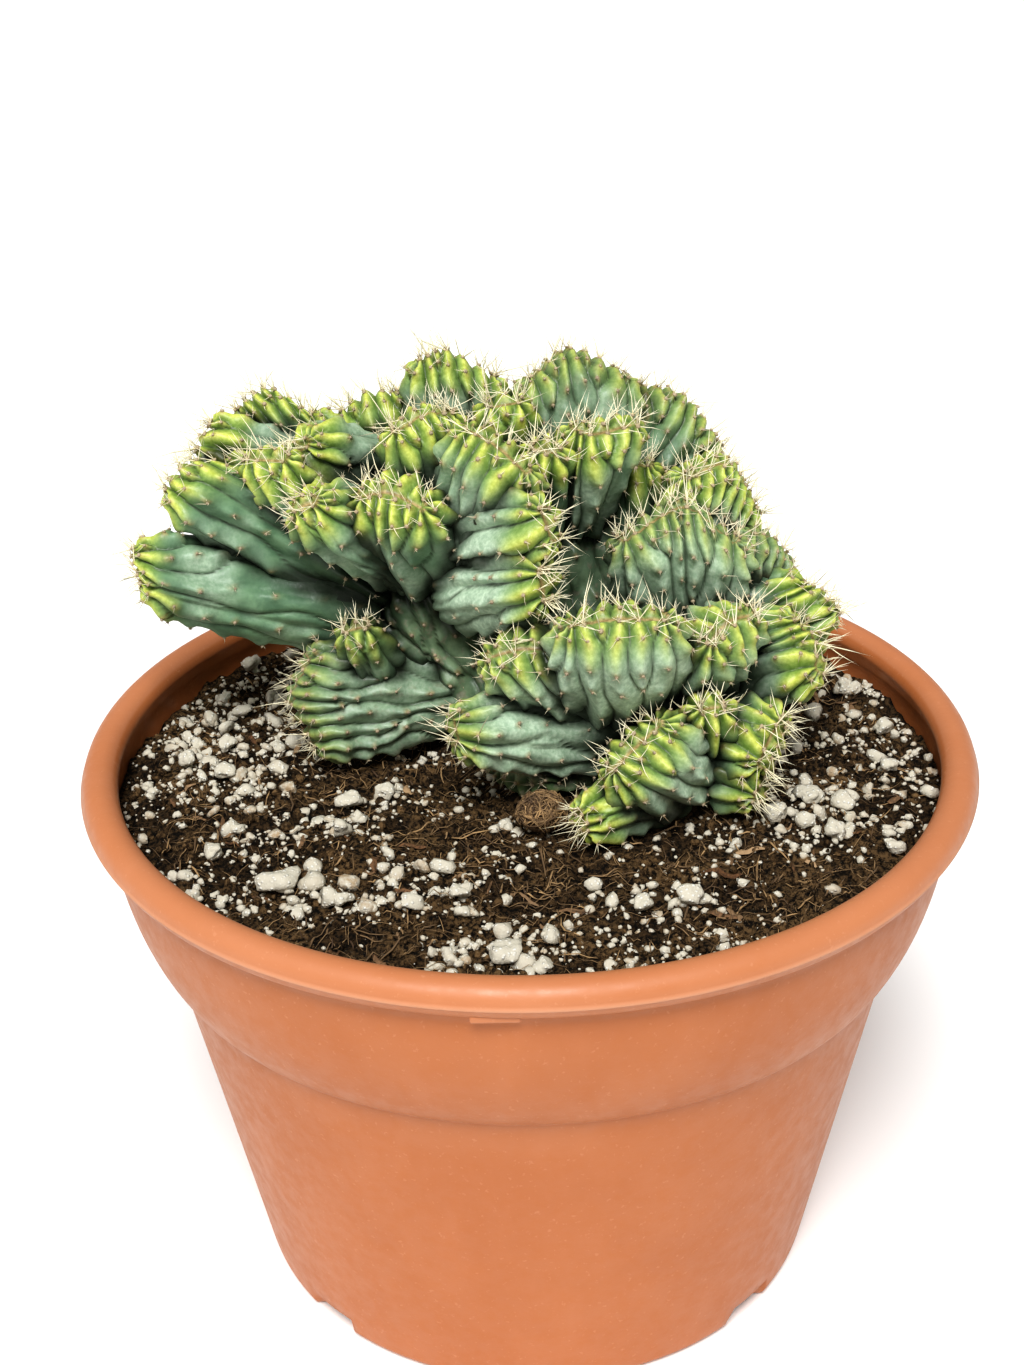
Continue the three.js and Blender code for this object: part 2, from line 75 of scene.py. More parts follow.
# A lobe is a stem tip whose growing point is stretched into a crest. The crest's points, the root's
# centre, half thickness at head and neck, half width at the root, the bend between, and how old and
# dull it looks (0 to 1).
Lobe = namedtuple("Lobe", "name crest root head neck wide bow age wax", defaults=[(0, 0, 0), 0.0, 0.0])
LOBES = [
    Lobe("left_fan_upper", [[-99, 14, 239], [-93, 16, 245], [-84, 20, 244]], [-41, 25, 203], 10, 11, 6,
         wax=-0.35),
    Lobe("left_fan_lower", [[-108, 9, 213], [-110, 9, 221]], [-45, 24, 196], 10, 12, 5, bow=[0, 0, -3],
         wax=-0.35),
    Lobe("left_back_tip", [[-91, 25, 247], [-88, 28, 251]], [-62, 32, 236], 8, 9, 2),
    Lobe("left_back_crest", [[-80, 38, 254], [-72, 40, 258], [-61, 42, 249]], [-54, 38, 228], 8, 9, 4),
    Lobe("left_star", [[-64, 17, 247], [-60, 16, 250]], [-36, 34, 234], 9.5, 9, 2),
    Lobe("left_small", [[-75, 12, 248], [-66, 10, 248]], [-56, 20, 220], 8, 8, 2),
    Lobe("left_round", [[-61, -7, 241], [-57, -7, 242]], [-36, 14, 216], 11, 10, 2, wax=-0.1),
    Lobe("left_front_crest", [[-43, -7, 244], [-36, -8, 245], [-28, -9, 241]], [-30, 14, 212], 10, 10, 5,
         wax=0.0),
    Lobe("centre_spiny", [[-34, 8, 257], [-27, 12, 260], [-21, 15, 259]], [-26, 20, 224], 8.5, 9, 4),
    Lobe("centre_tall", [[-14, 3, 258], [-7, -1, 255], [0, -4, 249]], [-18, 14, 214], 10, 11, 5, wax=0.3),
    Lobe("centre_upper_star", [[5, -13, 240], [7, -14, 234]], [-20, 10, 222], 9.5, 10, 3, wax=0.4),
    Lobe("centre_lower_star", [[4, -17, 224], [5, -18, 218]], [-19, 8, 208], 10.5, 11, 3, wax=0.5),
    Lobe("middle_star", [[4, 7, 251], [8, 7, 250]], [5, 24, 222], 7, 7, 2),
    Lobe("middle_back_star", [[-8, 20, 259], [-2, 20, 260]], [-4, 28, 235], 7.5, 8, 2),
    Lobe("middle_crest", [[15, 14, 254], [20, 13, 253], [30, 17, 254]], [14, 28, 220], 8, 7, 3, wax=0.3),
    Lobe("top_left_crest", [[-28, 40, 266], [-21, 41, 268], [-9, 42, 260]], [-18, 38, 230], 8, 9, 6,
         wax=0.3),
    Lobe("back_left_crest", [[-51, 44, 250], [-45, 46, 254], [-38, 46, 254]], [-35, 40, 226], 8.5, 9, 4),
    Lobe("top_crest", [[3, 40, 260], [14, 45, 266], [29, 45, 259]], [14, 36, 230], 10, 10, 8, age=0.35,
         wax=0.25),
    Lobe("top_right_crest", [[33, 48, 254], [47, 50, 250], [57, 48, 237]], [28, 42, 220], 9, 10, 5,
         age=0.35, wax=0.1),
    Lobe("right_back_crest", [[47, 27, 234], [59, 32, 236], [67, 34, 222]], [44, 36, 208], 9, 10, 5,
         wax=0.2),
    Lobe("hollow_star", [[29, 30, 238], [35, 30, 237]], [30, 38, 206], 9, 10, 3),
    Lobe("old_fan", [[28, 4, 225], [39, 6, 232], [46, 6, 233], [58, 8, 222]], [46, 14, 186], 9.5, 11, 6,
         age=0.15, wax=1.0),
    Lobe("old_side_lobe", [[66, 23, 218], [71, 25, 216], [75, 27, 210]], [58, 24, 188], 8, 9, 3, age=0.4,
         wax=0.8),
    Lobe("front_crest", [[12, -31, 216], [24, -32, 218], [35, -31, 217]], [25, -2, 180], 11, 11, 8,
         bow=[0, -8, -5], wax=0.6),
    Lobe("front_right_crest", [[49, -25, 207], [54, -21, 211], [60, -17, 211]], [46, 2, 180], 10, 10, 5,
         bow=[0, -2, -2], wax=0.5),
    Lobe("right_tip", [[80, 14, 205], [84, 12, 204], [88, 8, 201]], [58, 14, 188], 9, 10, 4),
    Lobe("right_crest", [[75, -4, 202], [80, -8, 199], [80, -14, 193]], [54, 4, 180], 9.5, 11, 5),
    Lobe("right_low_stars", [[69, -23, 180], [66, -28, 178], [63, -33, 174]], [48, -6, 170], 9.5, 11, 4),
    Lobe("right_ground", [[64, -30, 166], [62, -34, 164]], [44, -10, 165], 9.5, 9, 2, age=0.15),
    Lobe("front_low_crest", [[22, -44, 180], [28, -40, 184], [34, -35, 187]], [46, -16, 160], 11, 10, 4,
         bow=[0, -4, -3], wax=0.4),
    Lobe("front_star", [[47, -31, 190], [51, -30, 190]], [46, -12, 165], 8.5, 9, 2),
    Lobe("front_ground_star", [[13, -46, 166], [14, -47, 163]], [36, -26, 163], 8, 9, 2),
    Lobe("front_left_low", [[-20, -31, 182], [-21, -30, 187]], [22, -6, 172], 9.5, 11, 4, bow=[0, 0, -3],
         age=0.1, wax=0.7),
    Lobe("front_left_crest", [[-10, -27, 205], [-3, -27, 207], [4, -27, 207]], [22, -2, 174], 10, 12, 6,
         wax=0.6),
    Lobe("ground_centre", [[-9, -15, 163], [3, -19, 163]], [16, 2, 160], 8, 9, 3, age=1.0, wax=0.5),
    Lobe("left_pup", [[-62, 0, 165], [-68, 3, 178], [-63, 6, 188]], [-22, 20, 170], 9, 11, 5, age=0.5,
         wax=0.5),
    Lobe("left_pup_star", [[-50, 0, 201], [-46, 0, 202]], [-42, 14, 178], 7, 7, 2, age=0.3),
    Lobe("left_trunk", [[-46, 25, 198], [-34, 24, 212], [-22, 24, 224]], [8, 20, 136], 12, 14, 8, age=1.0),
    Lobe("right_trunk", [[30, 8, 190], [44, 10, 192], [58, 14, 188]], [22, 12, 134], 12, 15, 12, age=0.8),
    Lobe("back_trunk", [[-20, 37, 232], [8, 38, 236], [34, 40, 230]], [12, 22, 134], 11, 14, 12, age=0.9),
    Lobe("rear_left_crest", [[-50, 64, 230], [-40, 70, 234], [-28, 70, 234]], [-15, 42, 205], 10, 11, 5),
    Lobe("rear_crest", [[-10, 76, 230], [2, 80, 232], [14, 78, 234]], [4, 44, 200], 10, 11, 6),
    Lobe("rear_right_crest", [[30, 72, 230], [42, 72, 228], [51, 66, 220]], [24, 46, 196], 10, 11, 5),
    Lobe("rear_left_star", [[-72, 56, 222], [-70, 58, 216]], [-36, 36, 200], 9, 10, 3),
    Lobe("rear_right_star", [[64, 58, 206], [66, 58, 200]], [38, 40, 188], 9, 10, 3),
    Lobe("rear_low_crest", [[-26, 76, 196], [-14, 82, 200], [0, 82, 196]], [-4, 44, 176], 10, 11, 5),
    Lobe("rear_low_right", [[28, 74, 190], [38, 70, 186]], [18, 40, 172], 10, 10, 3),
    Lobe("rear_pup", [[-42, 62, 172], [-36, 66, 174]], [-8, 34, 162], 9, 10, 3),]

# ---- Helpers for arrays and meshes ----


def unit(vectors):
    return vectors / np.maximum(np.linalg.norm(vectors, axis=-1, keepdims=True), 1e-9)


def smooth(low, high, value):
    t = np.clip((value - low) / (high - low), 0, 1)
    return t * t * (3 - 2 * t)


# Large primes that spread the corners of the noise grid over the random table.
HASH_PRIMES = (73856093, 19349663, 83492791)


def value_noise(points, cell, seed):
    """Smooth noise from -1 to 1 with features about one cell across."""
    scaled = np.asarray(points, float) / cell
    base = np.floor(scaled).astype(np.int64)
    part = scaled - base
    part = part * part * (3 - 2 * part)
    total = 0
    for corner in range(8):
        offset = [(corner >> axis) & 1 for axis in range(3)]
        hashed = sum((base[..., axis] + offset[axis]) * HASH_PRIMES[axis] for axis in range(3))
        hashed = (hashed + seed * 9781) * 1274126177 & 0xFFFFFFFF
        hashed = ((hashed ^ (hashed >> 15)) * 2246822519) & 0xFFFFFFFF
        hashed = hashed ^ (hashed >> 13)
        weight = 1
        for axis in range(3):
            weight = weight * (part[..., axis] if offset[axis] else 1 - part[..., axis])
        total = total + weight * ((hashed & 0xFFFF) / 32767.5 - 1)
    return total


def layered_noise(points, cell, seed, layers=3):
    total = 0
    for layer in range(layers):
        total = total + value_noise(points, cell / 2**layer, seed + layer) / 2**layer
    return total / (2 - 0.5 ** (layers - 1))


def make_piece(name, vertices, faces, material, replaced=(), attributes=None, flat=False):
    """Adds a mesh that rides on the root body. faces is one array, or a list of arrays, of corner numbers."""
    face_sets = [f for f in (faces if isinstance(faces, list) else [faces]) if len(f)]
    corners = np.concatenate([f.ravel() for f in face_sets]).astype(np.int32)
    sizes = np.concatenate([np.full(len(f), f.shape[1]) for f in face_sets])
    mesh = bpy.data.meshes.new(name)
    mesh.vertices.add(len(vertices))
    mesh.vertices.foreach_set("co", (np.asarray(vertices) * MM).astype(np.float32).ravel())
    mesh.loops.add(len(corners))
    mesh.loops.foreach_set("vertex_index", corners)
    mesh.polygons.add(len(sizes))
    mesh.polygons.foreach_set("loop_start", np.concatenate([[0], np.cumsum(sizes)[:-1]]).astype(np.int32))
    mesh.polygons.foreach_set("use_smooth", np.full(len(sizes), not flat))
    for key, values in (attributes or {}).items():
        layer = mesh.attributes.new(key, "FLOAT", "POINT")
        layer.data.foreach_set("value", np.asarray(values, np.float32))
    mesh.update(calc_edges=True)
    mesh.validate()
    mesh.materials.append(material)
    piece = bpy.data.objects.new(name, mesh)
    bpy.context.scene.collection.objects.link(piece)
    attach(piece, "root")
    if replaced:
        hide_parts(*replaced)
    return piece


def joined(parts):
    """Joins (vertices, faces) pairs into one pair."""
    start, all_vertices, all_faces = 0, [], []
    for vertices, faces in parts:
        all_vertices.append(vertices)
        all_faces.append(faces + start)
        start += len(vertices)
    return np.concatenate(all_vertices), np.concatenate(all_faces)


def copies(template, faces, transforms, centres):
    """One copy of a small mesh for each 3x3 transform and centre."""
    vertices = np.einsum("nij,vj->nvi", transforms, template) + centres[:, None]
    count, size = vertices.shape[:2]
    all_faces = faces[None] + (np.arange(count) * size)[:, None, None]
    return vertices.reshape(-1, 3), all_faces.reshape(-1, faces.shape[1])


def random_turns(rng, count):
    """Random rotation matrices."""
    q = unit(rng.normal(size=(count, 4)))
    w, x, y, z = q.T
    rows = [
        [1 - 2 * (y * y + z * z), 2 * (x * y - w * z), 2 * (x * z + w * y)],
        [2 * (x * y + w * z), 1 - 2 * (x * x + z * z), 2 * (y * z - w * x)],
        [2 * (x * z - w * y), 2 * (y * z + w * x), 1 - 2 * (x * x + y * y)],
    ]
    return np.array(rows).transpose(2, 0, 1)


def ball(subdivisions):
    """Vertices and triangles of an icosphere of radius 1."""
    work = bmesh.new()
    bmesh.ops.create_icosphere(work, subdivisions=subdivisions, radius=1)
    vertices = np.array([v.co[:] for v in work.verts])
    faces = np.array([[v.index for v in f.verts] for f in work.faces])
    work.free()
    return vertices, faces


# ---- Materials ----


class Finish:
    """A material built from nodes, with short calls for the nodes used here."""

    def __init__(self, name):
        self.material = bpy.data.materials.new(name)
        self.material.use_nodes = True
        self.tree = self.material.node_tree
        self.surface = self.tree.nodes["Principled BSDF"]
        self.place = self.tree.nodes.new("ShaderNodeTexCoord").outputs["Object"]

    def join(self, source, socket):
        if isinstance(source, bpy.types.NodeSocket):
            self.tree.links.new(source, socket)
        else:
            socket.default_value = source

    def attribute(self, name):
        node = self.tree.nodes.new("ShaderNodeAttribute")
        node.attribute_name = name
        return node.outputs["Fac"]

    def noise(self, cell, detail=3.0, roughness=0.6, stretch=None):
        """Noise with features about one cell (mm) across."""
        node = self.tree.nodes.new("ShaderNodeTexNoise")
        node.inputs["Scale"].default_value = 1 / (cell * MM)
        node.inputs["Detail"].default_value = detail
        node.inputs["Roughness"].default_value = roughness
        place = self.place
        if stretch:
            mapping = self.tree.nodes.new("ShaderNodeMapping")
            mapping.inputs["Scale"].default_value = stretch
            self.join(place, mapping.inputs["Vector"])
            place = mapping.outputs["Vector"]
        self.join(place, node.inputs["Vector"])
        return node.outputs["Fac"]

    def cells(self, cell):
        node = self.tree.nodes.new("ShaderNodeTexVoronoi")
        node.inputs["Scale"].default_value = 1 / (cell * MM)
        self.join(self.place, node.inputs["Vector"])
        return node.outputs["Distance"]

    def span(self, value, low, high, to_low=0.0, to_high=1.0):
        node = self.tree.nodes.new("ShaderNodeMapRange")
        node.interpolation_type = "SMOOTHSTEP"
        self.join(value, node.inputs["Value"])
        for key, number in zip(("From Min", "From Max", "To Min", "To Max"), (low, high, to_low, to_high)):
            node.inputs[key].default_value = number
        return node.outputs["Result"]

    def maths(self, kind, first, second):
        node = self.tree.nodes.new("ShaderNodeMath")
        node.operation = kind
        self.join(first, node.inputs[0])
        self.join(second, node.inputs[1])
        return node.outputs[0]

    def mix(self, factor, first, second):
        """Blends two colours, each a socket or (r, g, b)."""
        node = self.tree.nodes.new("ShaderNodeMix")
        node.data_type = "RGBA"
        self.join(factor, node.inputs[0])
        for source, socket in ((first, node.inputs[6]), (second, node.inputs[7])):
            self.join((*source, 1) if isinstance(source, tuple) else source, socket)
        return node.outputs[2]

    def bump(self, height, depth, strength=1.0, after=None):
        node = self.tree.nodes.new("ShaderNodeBump")
        node.inputs["Distance"].default_value = depth * MM
        node.inputs["Strength"].default_value = strength
        self.join(height, node.inputs["Height"])
        if after:
            self.join(after, node.inputs["Normal"])
        return node.outputs["Normal"]

    def set(self, **values):
        names = {"colour": "Base Color", "roughness": "Roughness", "normal": "Normal",
                 "specular": "Specular IOR Level",
                 "sheen": "Sheen Weight", "subsurface": "Subsurface Weight", "coat": "Coat Weight"}
        for key, value in values.items():
            self.join((*value, 1) if isinstance(value, tuple) and key == "colour" else value,
                      self.surface.inputs[names[key]])
        return self.material


def terracotta_finish():
    f = Finish("terracotta_plastic_look")
    blotch = f.span(f.noise(38, 3), 0.35, 0.7)
    speck = f.span(f.noise(1.6, 2), 0.62, 0.74)
    streak = f.span(f.noise(9, 3, stretch=(1, 1, 0.16)), 0.5, 0.75)
    colour = f.mix(blotch, (0.435, 0.138, 0.040), (0.46, 0.150, 0.046))
    colour = f.mix(f.maths("MULTIPLY", streak, 0.10), colour, (0.57, 0.21, 0.09))
    colour = f.mix(f.maths("MULTIPLY", speck, 0.3), colour, (0.60, 0.27, 0.14))
    # Paler with dust and the mould flash line, and on the rim top with a painted sheen.
    dust = f.attribute("dust")
    colour = f.mix(dust, colour, (0.65, 0.33, 0.20))
    roughness = f.span(f.noise(5, 4), 0.3, 0.75, 0.40, 0.56)
    orange_peel = f.bump(f.noise(2.2, 2, 0.5), 0.05)
    grain = f.bump(f.noise(0.45, 2), 0.03, 0.8, after=orange_peel)
    return f.set(colour=colour, roughness=roughness, normal=grain, specular=0.42)


def skin_finish():
    f = Finish("cactus_skin_look")
    fine = f.span(f.noise(1.3, 4), 0.3, 0.75)
    mottle = f.span(f.noise(7, 4), 0.35, 0.68)
    body = f.mix(mottle, (0.090, 0.175, 0.098), (0.165, 0.285, 0.160))
    waxy = f.mix(fine, (0.34, 0.47, 0.33), (0.60, 0.74, 0.56))
    body = f.mix(f.maths("MULTIPLY", f.attribute("bloom"), 0.9), body, waxy)
    body = f.mix(f.attribute("young"), body, f.mix(fine, (0.145, 0.255, 0.045), (0.26, 0.395, 0.09)))
    # Keels of young ribs near the crest: yellower, and brightened past that as a painted highlight.
    body = f.mix(f.attribute("keel_yellow_and_highlight"), body, f.mix(fine, (0.50, 0.56, 0.08), (0.76, 0.80, 0.20)))
    # Painted shade: each lobe darkens towards its root, deep in the clump.
    body = f.mix(f.maths("MULTIPLY", f.attribute("painted_root_shade"), 0.75), body, (0.050, 0.085, 0.045))
    old = f.attribute("old")
    body = f.mix(f.maths("MULTIPLY", old, 0.55), body,
                 f.mix(mottle, (0.07, 0.11, 0.05), (0.19, 0.25, 0.13)))
    scab = f.maths("MULTIPLY", old, f.span(f.noise(3.2, 5), 0.53, 0.66, 0.0, 0.6))
    body = f.mix(scab, body, f.mix(fine, (0.22, 0.19, 0.13), (0.34, 0.31, 0.24)))
    # Painted shade: a dark line along the bottom of each groove.
    body = f.mix(f.maths("MULTIPLY", f.attribute("groove"), 0.85), body, (0.018, 0.032, 0.010))
    body = f.mix(f.attribute("felt"), body, f.mix(fine, (0.20, 0.12, 0.045), (0.50, 0.36, 0.17)))
    # Painted shade where neighbouring lobes close in or touch.
    body = f.mix(f.maths("MULTIPLY", f.attribute("painted_crowd_shade"), 0.9), body, (0.006, 0.010, 0.004))
    pores = f.bump(f.noise(0.7, 3), 0.10, 0.7)
    ripple = f.bump(f.noise(3.5, 3), 0.35, 0.6, after=pores)
    return f.set(colour=body, roughness=f.span(fine, 0, 1, 0.38, 0.55), normal=ripple, specular=0.45)


def spine_finish():
    f = Finish("spine")
    tip = f.attribute("tip")
    dark = f.attribute("dark")
    pale = f.mix(f.noise(4, 2), (0.95, 0.85, 0.52), (1.0, 0.97, 0.80))
    colour = f.mix(dark, pale, (0.22, 0.15, 0.08))
    colour = f.mix(f.span(tip, 0.0, 0.2, 0.4, 0.0), colour, (0.62, 0.36, 0.10))
    return f.set(colour=colour, roughness=f.span(f.noise(1, 2), 0.3, 0.7, 0.35, 0.55), specular=0.35,
                 normal=f.bump(f.noise(0.3, 1), 0.02))


def felt_finish():
    f = Finish("areole_felt")
    colour = f.mix(f.noise(0.6, 3), (0.30, 0.21, 0.10), (0.66, 0.56, 0.40))
    colour = f.mix(f.attribute("dark"), colour, (0.25, 0.20, 0.15))
    return f.set(colour=colour, roughness=0.9, normal=f.bump(f.noise(0.25, 3), 0.15), specular=0.2)


def peat_finish():
    f = Finish("peat_mix_look")
    crumbs = f.span(f.noise(1.5, 5, 0.75), 0.42, 0.62)
    patches = f.span(f.noise(16, 4), 0.42, 0.6)
    colour = f.mix(crumbs, (0.004, 0.003, 0.002), (0.060, 0.036, 0.017))
    colour = f.mix(f.maths("MULTIPLY", patches, crumbs), colour, (0.15, 0.092, 0.042))
    colour = f.mix(f.attribute("tone"), colour, f.mix(crumbs, (0.045, 0.026, 0.012), (0.22, 0.135, 0.062)))
    dust = f.span(f.noise(0.8, 3), 0.66, 0.72)
    colour = f.mix(f.maths("MULTIPLY", dust, 0.5), colour, (0.42, 0.36, 0.27))
    surface = f.bump(f.noise(0.8, 5, 0.7), 0.9)
    return f.set(colour=colour, roughness=f.span(f.noise(3, 3), 0.3, 0.7, 0.8, 1.0), normal=surface,
                 specular=0.12)


def perlite_finish():
    f = Finish("perlite_look")
    stain = f.attribute("stain")
    pits = f.span(f.cells(1.3), 0.0, 0.45)
    # Painted shade: the sunk parts of each grain's surface are darker.
    colour = f.mix(pits, (0.90, 0.89, 0.82), (0.58, 0.54, 0.44))
    colour = f.mix(f.maths("MULTIPLY", stain, f.span(f.noise(2.2, 4), 0.35, 0.65)), colour,
                   (0.36, 0.25, 0.14))
    surface = f.bump(f.noise(0.6, 4, 0.65), 0.30)
    surface = f.bump(f.maths("SUBTRACT", 1.0, pits), 0.35, 0.9, after=surface)
    return f.set(colour=colour, roughness=f.span(f.noise(1, 2), 0.3, 0.7, 0.8, 0.95), normal=surface,
                 specular=0.3)


def bark_finish():
    f = Finish("bark_look")
    tone = f.attribute("tone")
    grain = f.noise(1.1, 5, 0.7)
    colour = f.mix(f.span(grain, 0.35, 0.7), (0.045, 0.022, 0.010), (0.19, 0.092, 0.040))
    colour = f.mix(tone, colour, f.mix(grain, (0.30, 0.18, 0.09), (0.48, 0.34, 0.20)))
    return f.set(colour=colour, roughness=f.span(grain, 0.3, 0.7, 0.7, 0.95), normal=f.bump(grain, 0.35),
                 specular=0.25)


def coir_finish():
    f = Finish("coir_fibre_look")
    tone = f.attribute("tone")
    colour = f.mix(tone, (0.055, 0.028, 0.012), (0.44, 0.28, 0.13))
    colour = f.mix(f.span(f.noise(2.5, 3), 0.45, 0.7), colour, (0.10, 0.06, 0.03))
    return f.set(colour=colour, roughness=f.span(f.noise(1, 2), 0.3, 0.7, 0.7, 0.9),
                 normal=f.bump(f.noise(0.4, 2), 0.08))


def floor_finish():
    f = Finish("floor")
    f.set(colour=(0.92, 0.915, 0.905), roughness=0.6, specular=0.2)
    return f.material


# ---- Camera, lights and floor ----

CAMERA_TARGET = Vector((-4.5, 0, 182.9)) * MM
CAMERA_PITCH = math.radians(27.2)
CAMERA_DISTANCE = 541.5 * MM
CAMERA_ROLL = math.radians(-1.17)
CAMERA_LENS = 50.1


def make_camera():
    forward = Vector((0, math.cos(CAMERA_PITCH), -math.sin(CAMERA_PITCH)))
    level_up = Vector((1, 0, 0)).cross(forward)
    right = Vector((1, 0, 0)) * math.cos(CAMERA_ROLL) + level_up * math.sin(CAMERA_ROLL)
    up = right.cross(forward)
    data = bpy.data.cameras.new("camera")
    data.lens = CAMERA_LENS
    data.sensor_width = 36
    data.clip_start, data.clip_end = 0.01, 50
    camera = bpy.data.objects.new("camera", data)
    camera.matrix_world = Matrix((right, up, -forward)).transposed().to_4x4()
    camera.location = CAMERA_TARGET - forward * CAMERA_DISTANCE
    bpy.context.scene.collection.objects.link(camera)
    bpy.context.scene.camera = camera


def make_sun(name, heading, strength, softness):
    """Even light from one side of the sky; heading points from the light towards the ground."""
    data = bpy.data.lights.new(name, "SUN")
    data.energy = strength
    data.angle = math.radians(softness)
    light = bpy.data.objects.new(name, data)
    light.rotation_euler = (-Vector(heading)).to_track_quat("Z", "Y").to_euler()
    bpy.context.scene.collection.objects.link(light)


def make_studio():
    scene = bpy.context.scene
    scene.view_settings.view_transform = "Standard"
    scene.view_settings.look = "Medium High Contrast"
    world = bpy.data.worlds.new("studio")
    world.use_nodes = True
    world.node_tree.nodes["Background"].inputs["Color"].default_value = (1.0, 0.99, 0.97, 1)
    world.node_tree.nodes["Background"].inputs["Strength"].default_value = 0.25
    scene.world = world
    make_sun("key", (0.05, 0.56, -0.83), 3.35, 24)
    make_sun("fill", (0.6, 0.5, -0.7), 0.45, 80)
    bpy.ops.mesh.primitive_plane_add(size=80, location=(0, 0, -0.0002))
    floor = bpy.context.object
    floor.name = "floor"
    floor.data.materials.append(floor_finish())


# ---- Pot ----

POT_SEGMENTS = 240


def arc(centre, radius, start, end, steps):
    angles = np.radians(np.linspace(start, end, steps + 1))
    return [(centre[0] + radius * math.cos(a), centre[1] + radius * math.sin(a)) for a in angles]


def collar_curve(inset, steps):
    bottom = np.array([COLLAR_BOTTOM_RADIUS - inset, COLLAR_BOTTOM_Z])
    belly = np.array([COLLAR_TOP_RADIUS - inset - 2, COLLAR_BOTTOM_Z + 14])
    top = np.array([COLLAR_TOP_RADIUS - inset, RIM_BEAD_Z - RIM_BEAD_RADIUS])
    t = np.linspace(0, 1, steps + 1)[:, None]
    return [tuple(p) for p in (1 - t) ** 2 * bottom + 2 * t * (1 - t) * belly + t * t * top]


def straight(start, end, steps):
    return [tuple(np.array(start) + (np.array(end) - start) * k / steps) for k in range(1, steps)]


def pot_profile():
    """Radius and height from the middle of the bottom, up the outside and down the inside."""
    bead = (RIM_RADIUS - RIM_BEAD_RADIUS, RIM_BEAD_Z)
    corner_centre = (BASE_RADIUS - BASE_CORNER_RADIUS, BASE_CORNER_RADIUS)
    corner = arc(corner_centre, BASE_CORNER_RADIUS, -90, -6, 6)
    wall_top = (COLLAR_BOTTOM_RADIUS - COLLAR_STEP, COLLAR_BOTTOM_Z - 1.6)
    step = [(wall_top[0] + 0.4, wall_top[1] + 0.9), (wall_top[0] + 1.2, COLLAR_BOTTOM_Z - 0.35)]
    collar = collar_curve(0, 14)
    collar[0] = (COLLAR_BOTTOM_RADIUS - 0.5, COLLAR_BOTTOM_Z - 0.25)
    flash = [(RIM_RADIUS + 0.05, RIM_BEAD_Z - 0.9), (RIM_RADIUS + 0.45, RIM_BEAD_Z - 0.45),
             (RIM_RADIUS + 0.05, RIM_BEAD_Z)]
    inner_top = (COLLAR_BOTTOM_RADIUS - COLLAR_STEP - POT_WALL, COLLAR_BOTTOM_Z - POT_WALL)
    inner_foot = (BASE_RADIUS - POT_WALL, POT_FLOOR)
    outline = [(0.0, 0.0), *straight((0, 0), corner[0], 6), *corner]
    outline += straight(corner[-1], wall_top, 24)
    outline += [wall_top, *step, *collar, *arc(bead, RIM_BEAD_RADIUS, -75, -12, 4), *flash]
    outline += arc(bead, RIM_BEAD_RADIUS, 8, 180, 16)
    outline += list(reversed(collar_curve(POT_WALL, 10)))
    outline += [inner_top, inner_foot, (0.0, POT_FLOOR)]
    return np.array(outline)


def turned_surface(outline, segments):
    """Vertices and faces of an outline turned about the axis; its first and last points are on the axis."""
    angles = np.arange(segments) * 2 * math.pi / segments
    rings = outline[1:-1]
    radius, height = rings[:, :1], rings[:, 1:]
    grid = np.stack([radius * np.cos(angles), radius * np.sin(angles), np.repeat(height, segments, 1)], -1)
    count = len(rings)
    vertices = np.vstack([grid.reshape(-1, 3), [[0, 0, outline[0, 1]], [0, 0, outline[-1, 1]]]])
    corner = np.arange(count * segments).reshape(count, segments)
    following = np.roll(corner, -1, 1)
    quads = np.stack([corner[:-1], following[:-1], following[1:], corner[1:]], -1).reshape(-1, 4)
    low, high = count * segments, count * segments + 1
    bottom = np.stack([np.full(segments, low), following[0], corner[0]], -1)
    top = np.stack([np.full(segments, high), corner[-1], following[-1]], -1)
    return vertices, quads, np.vstack([bottom, top])


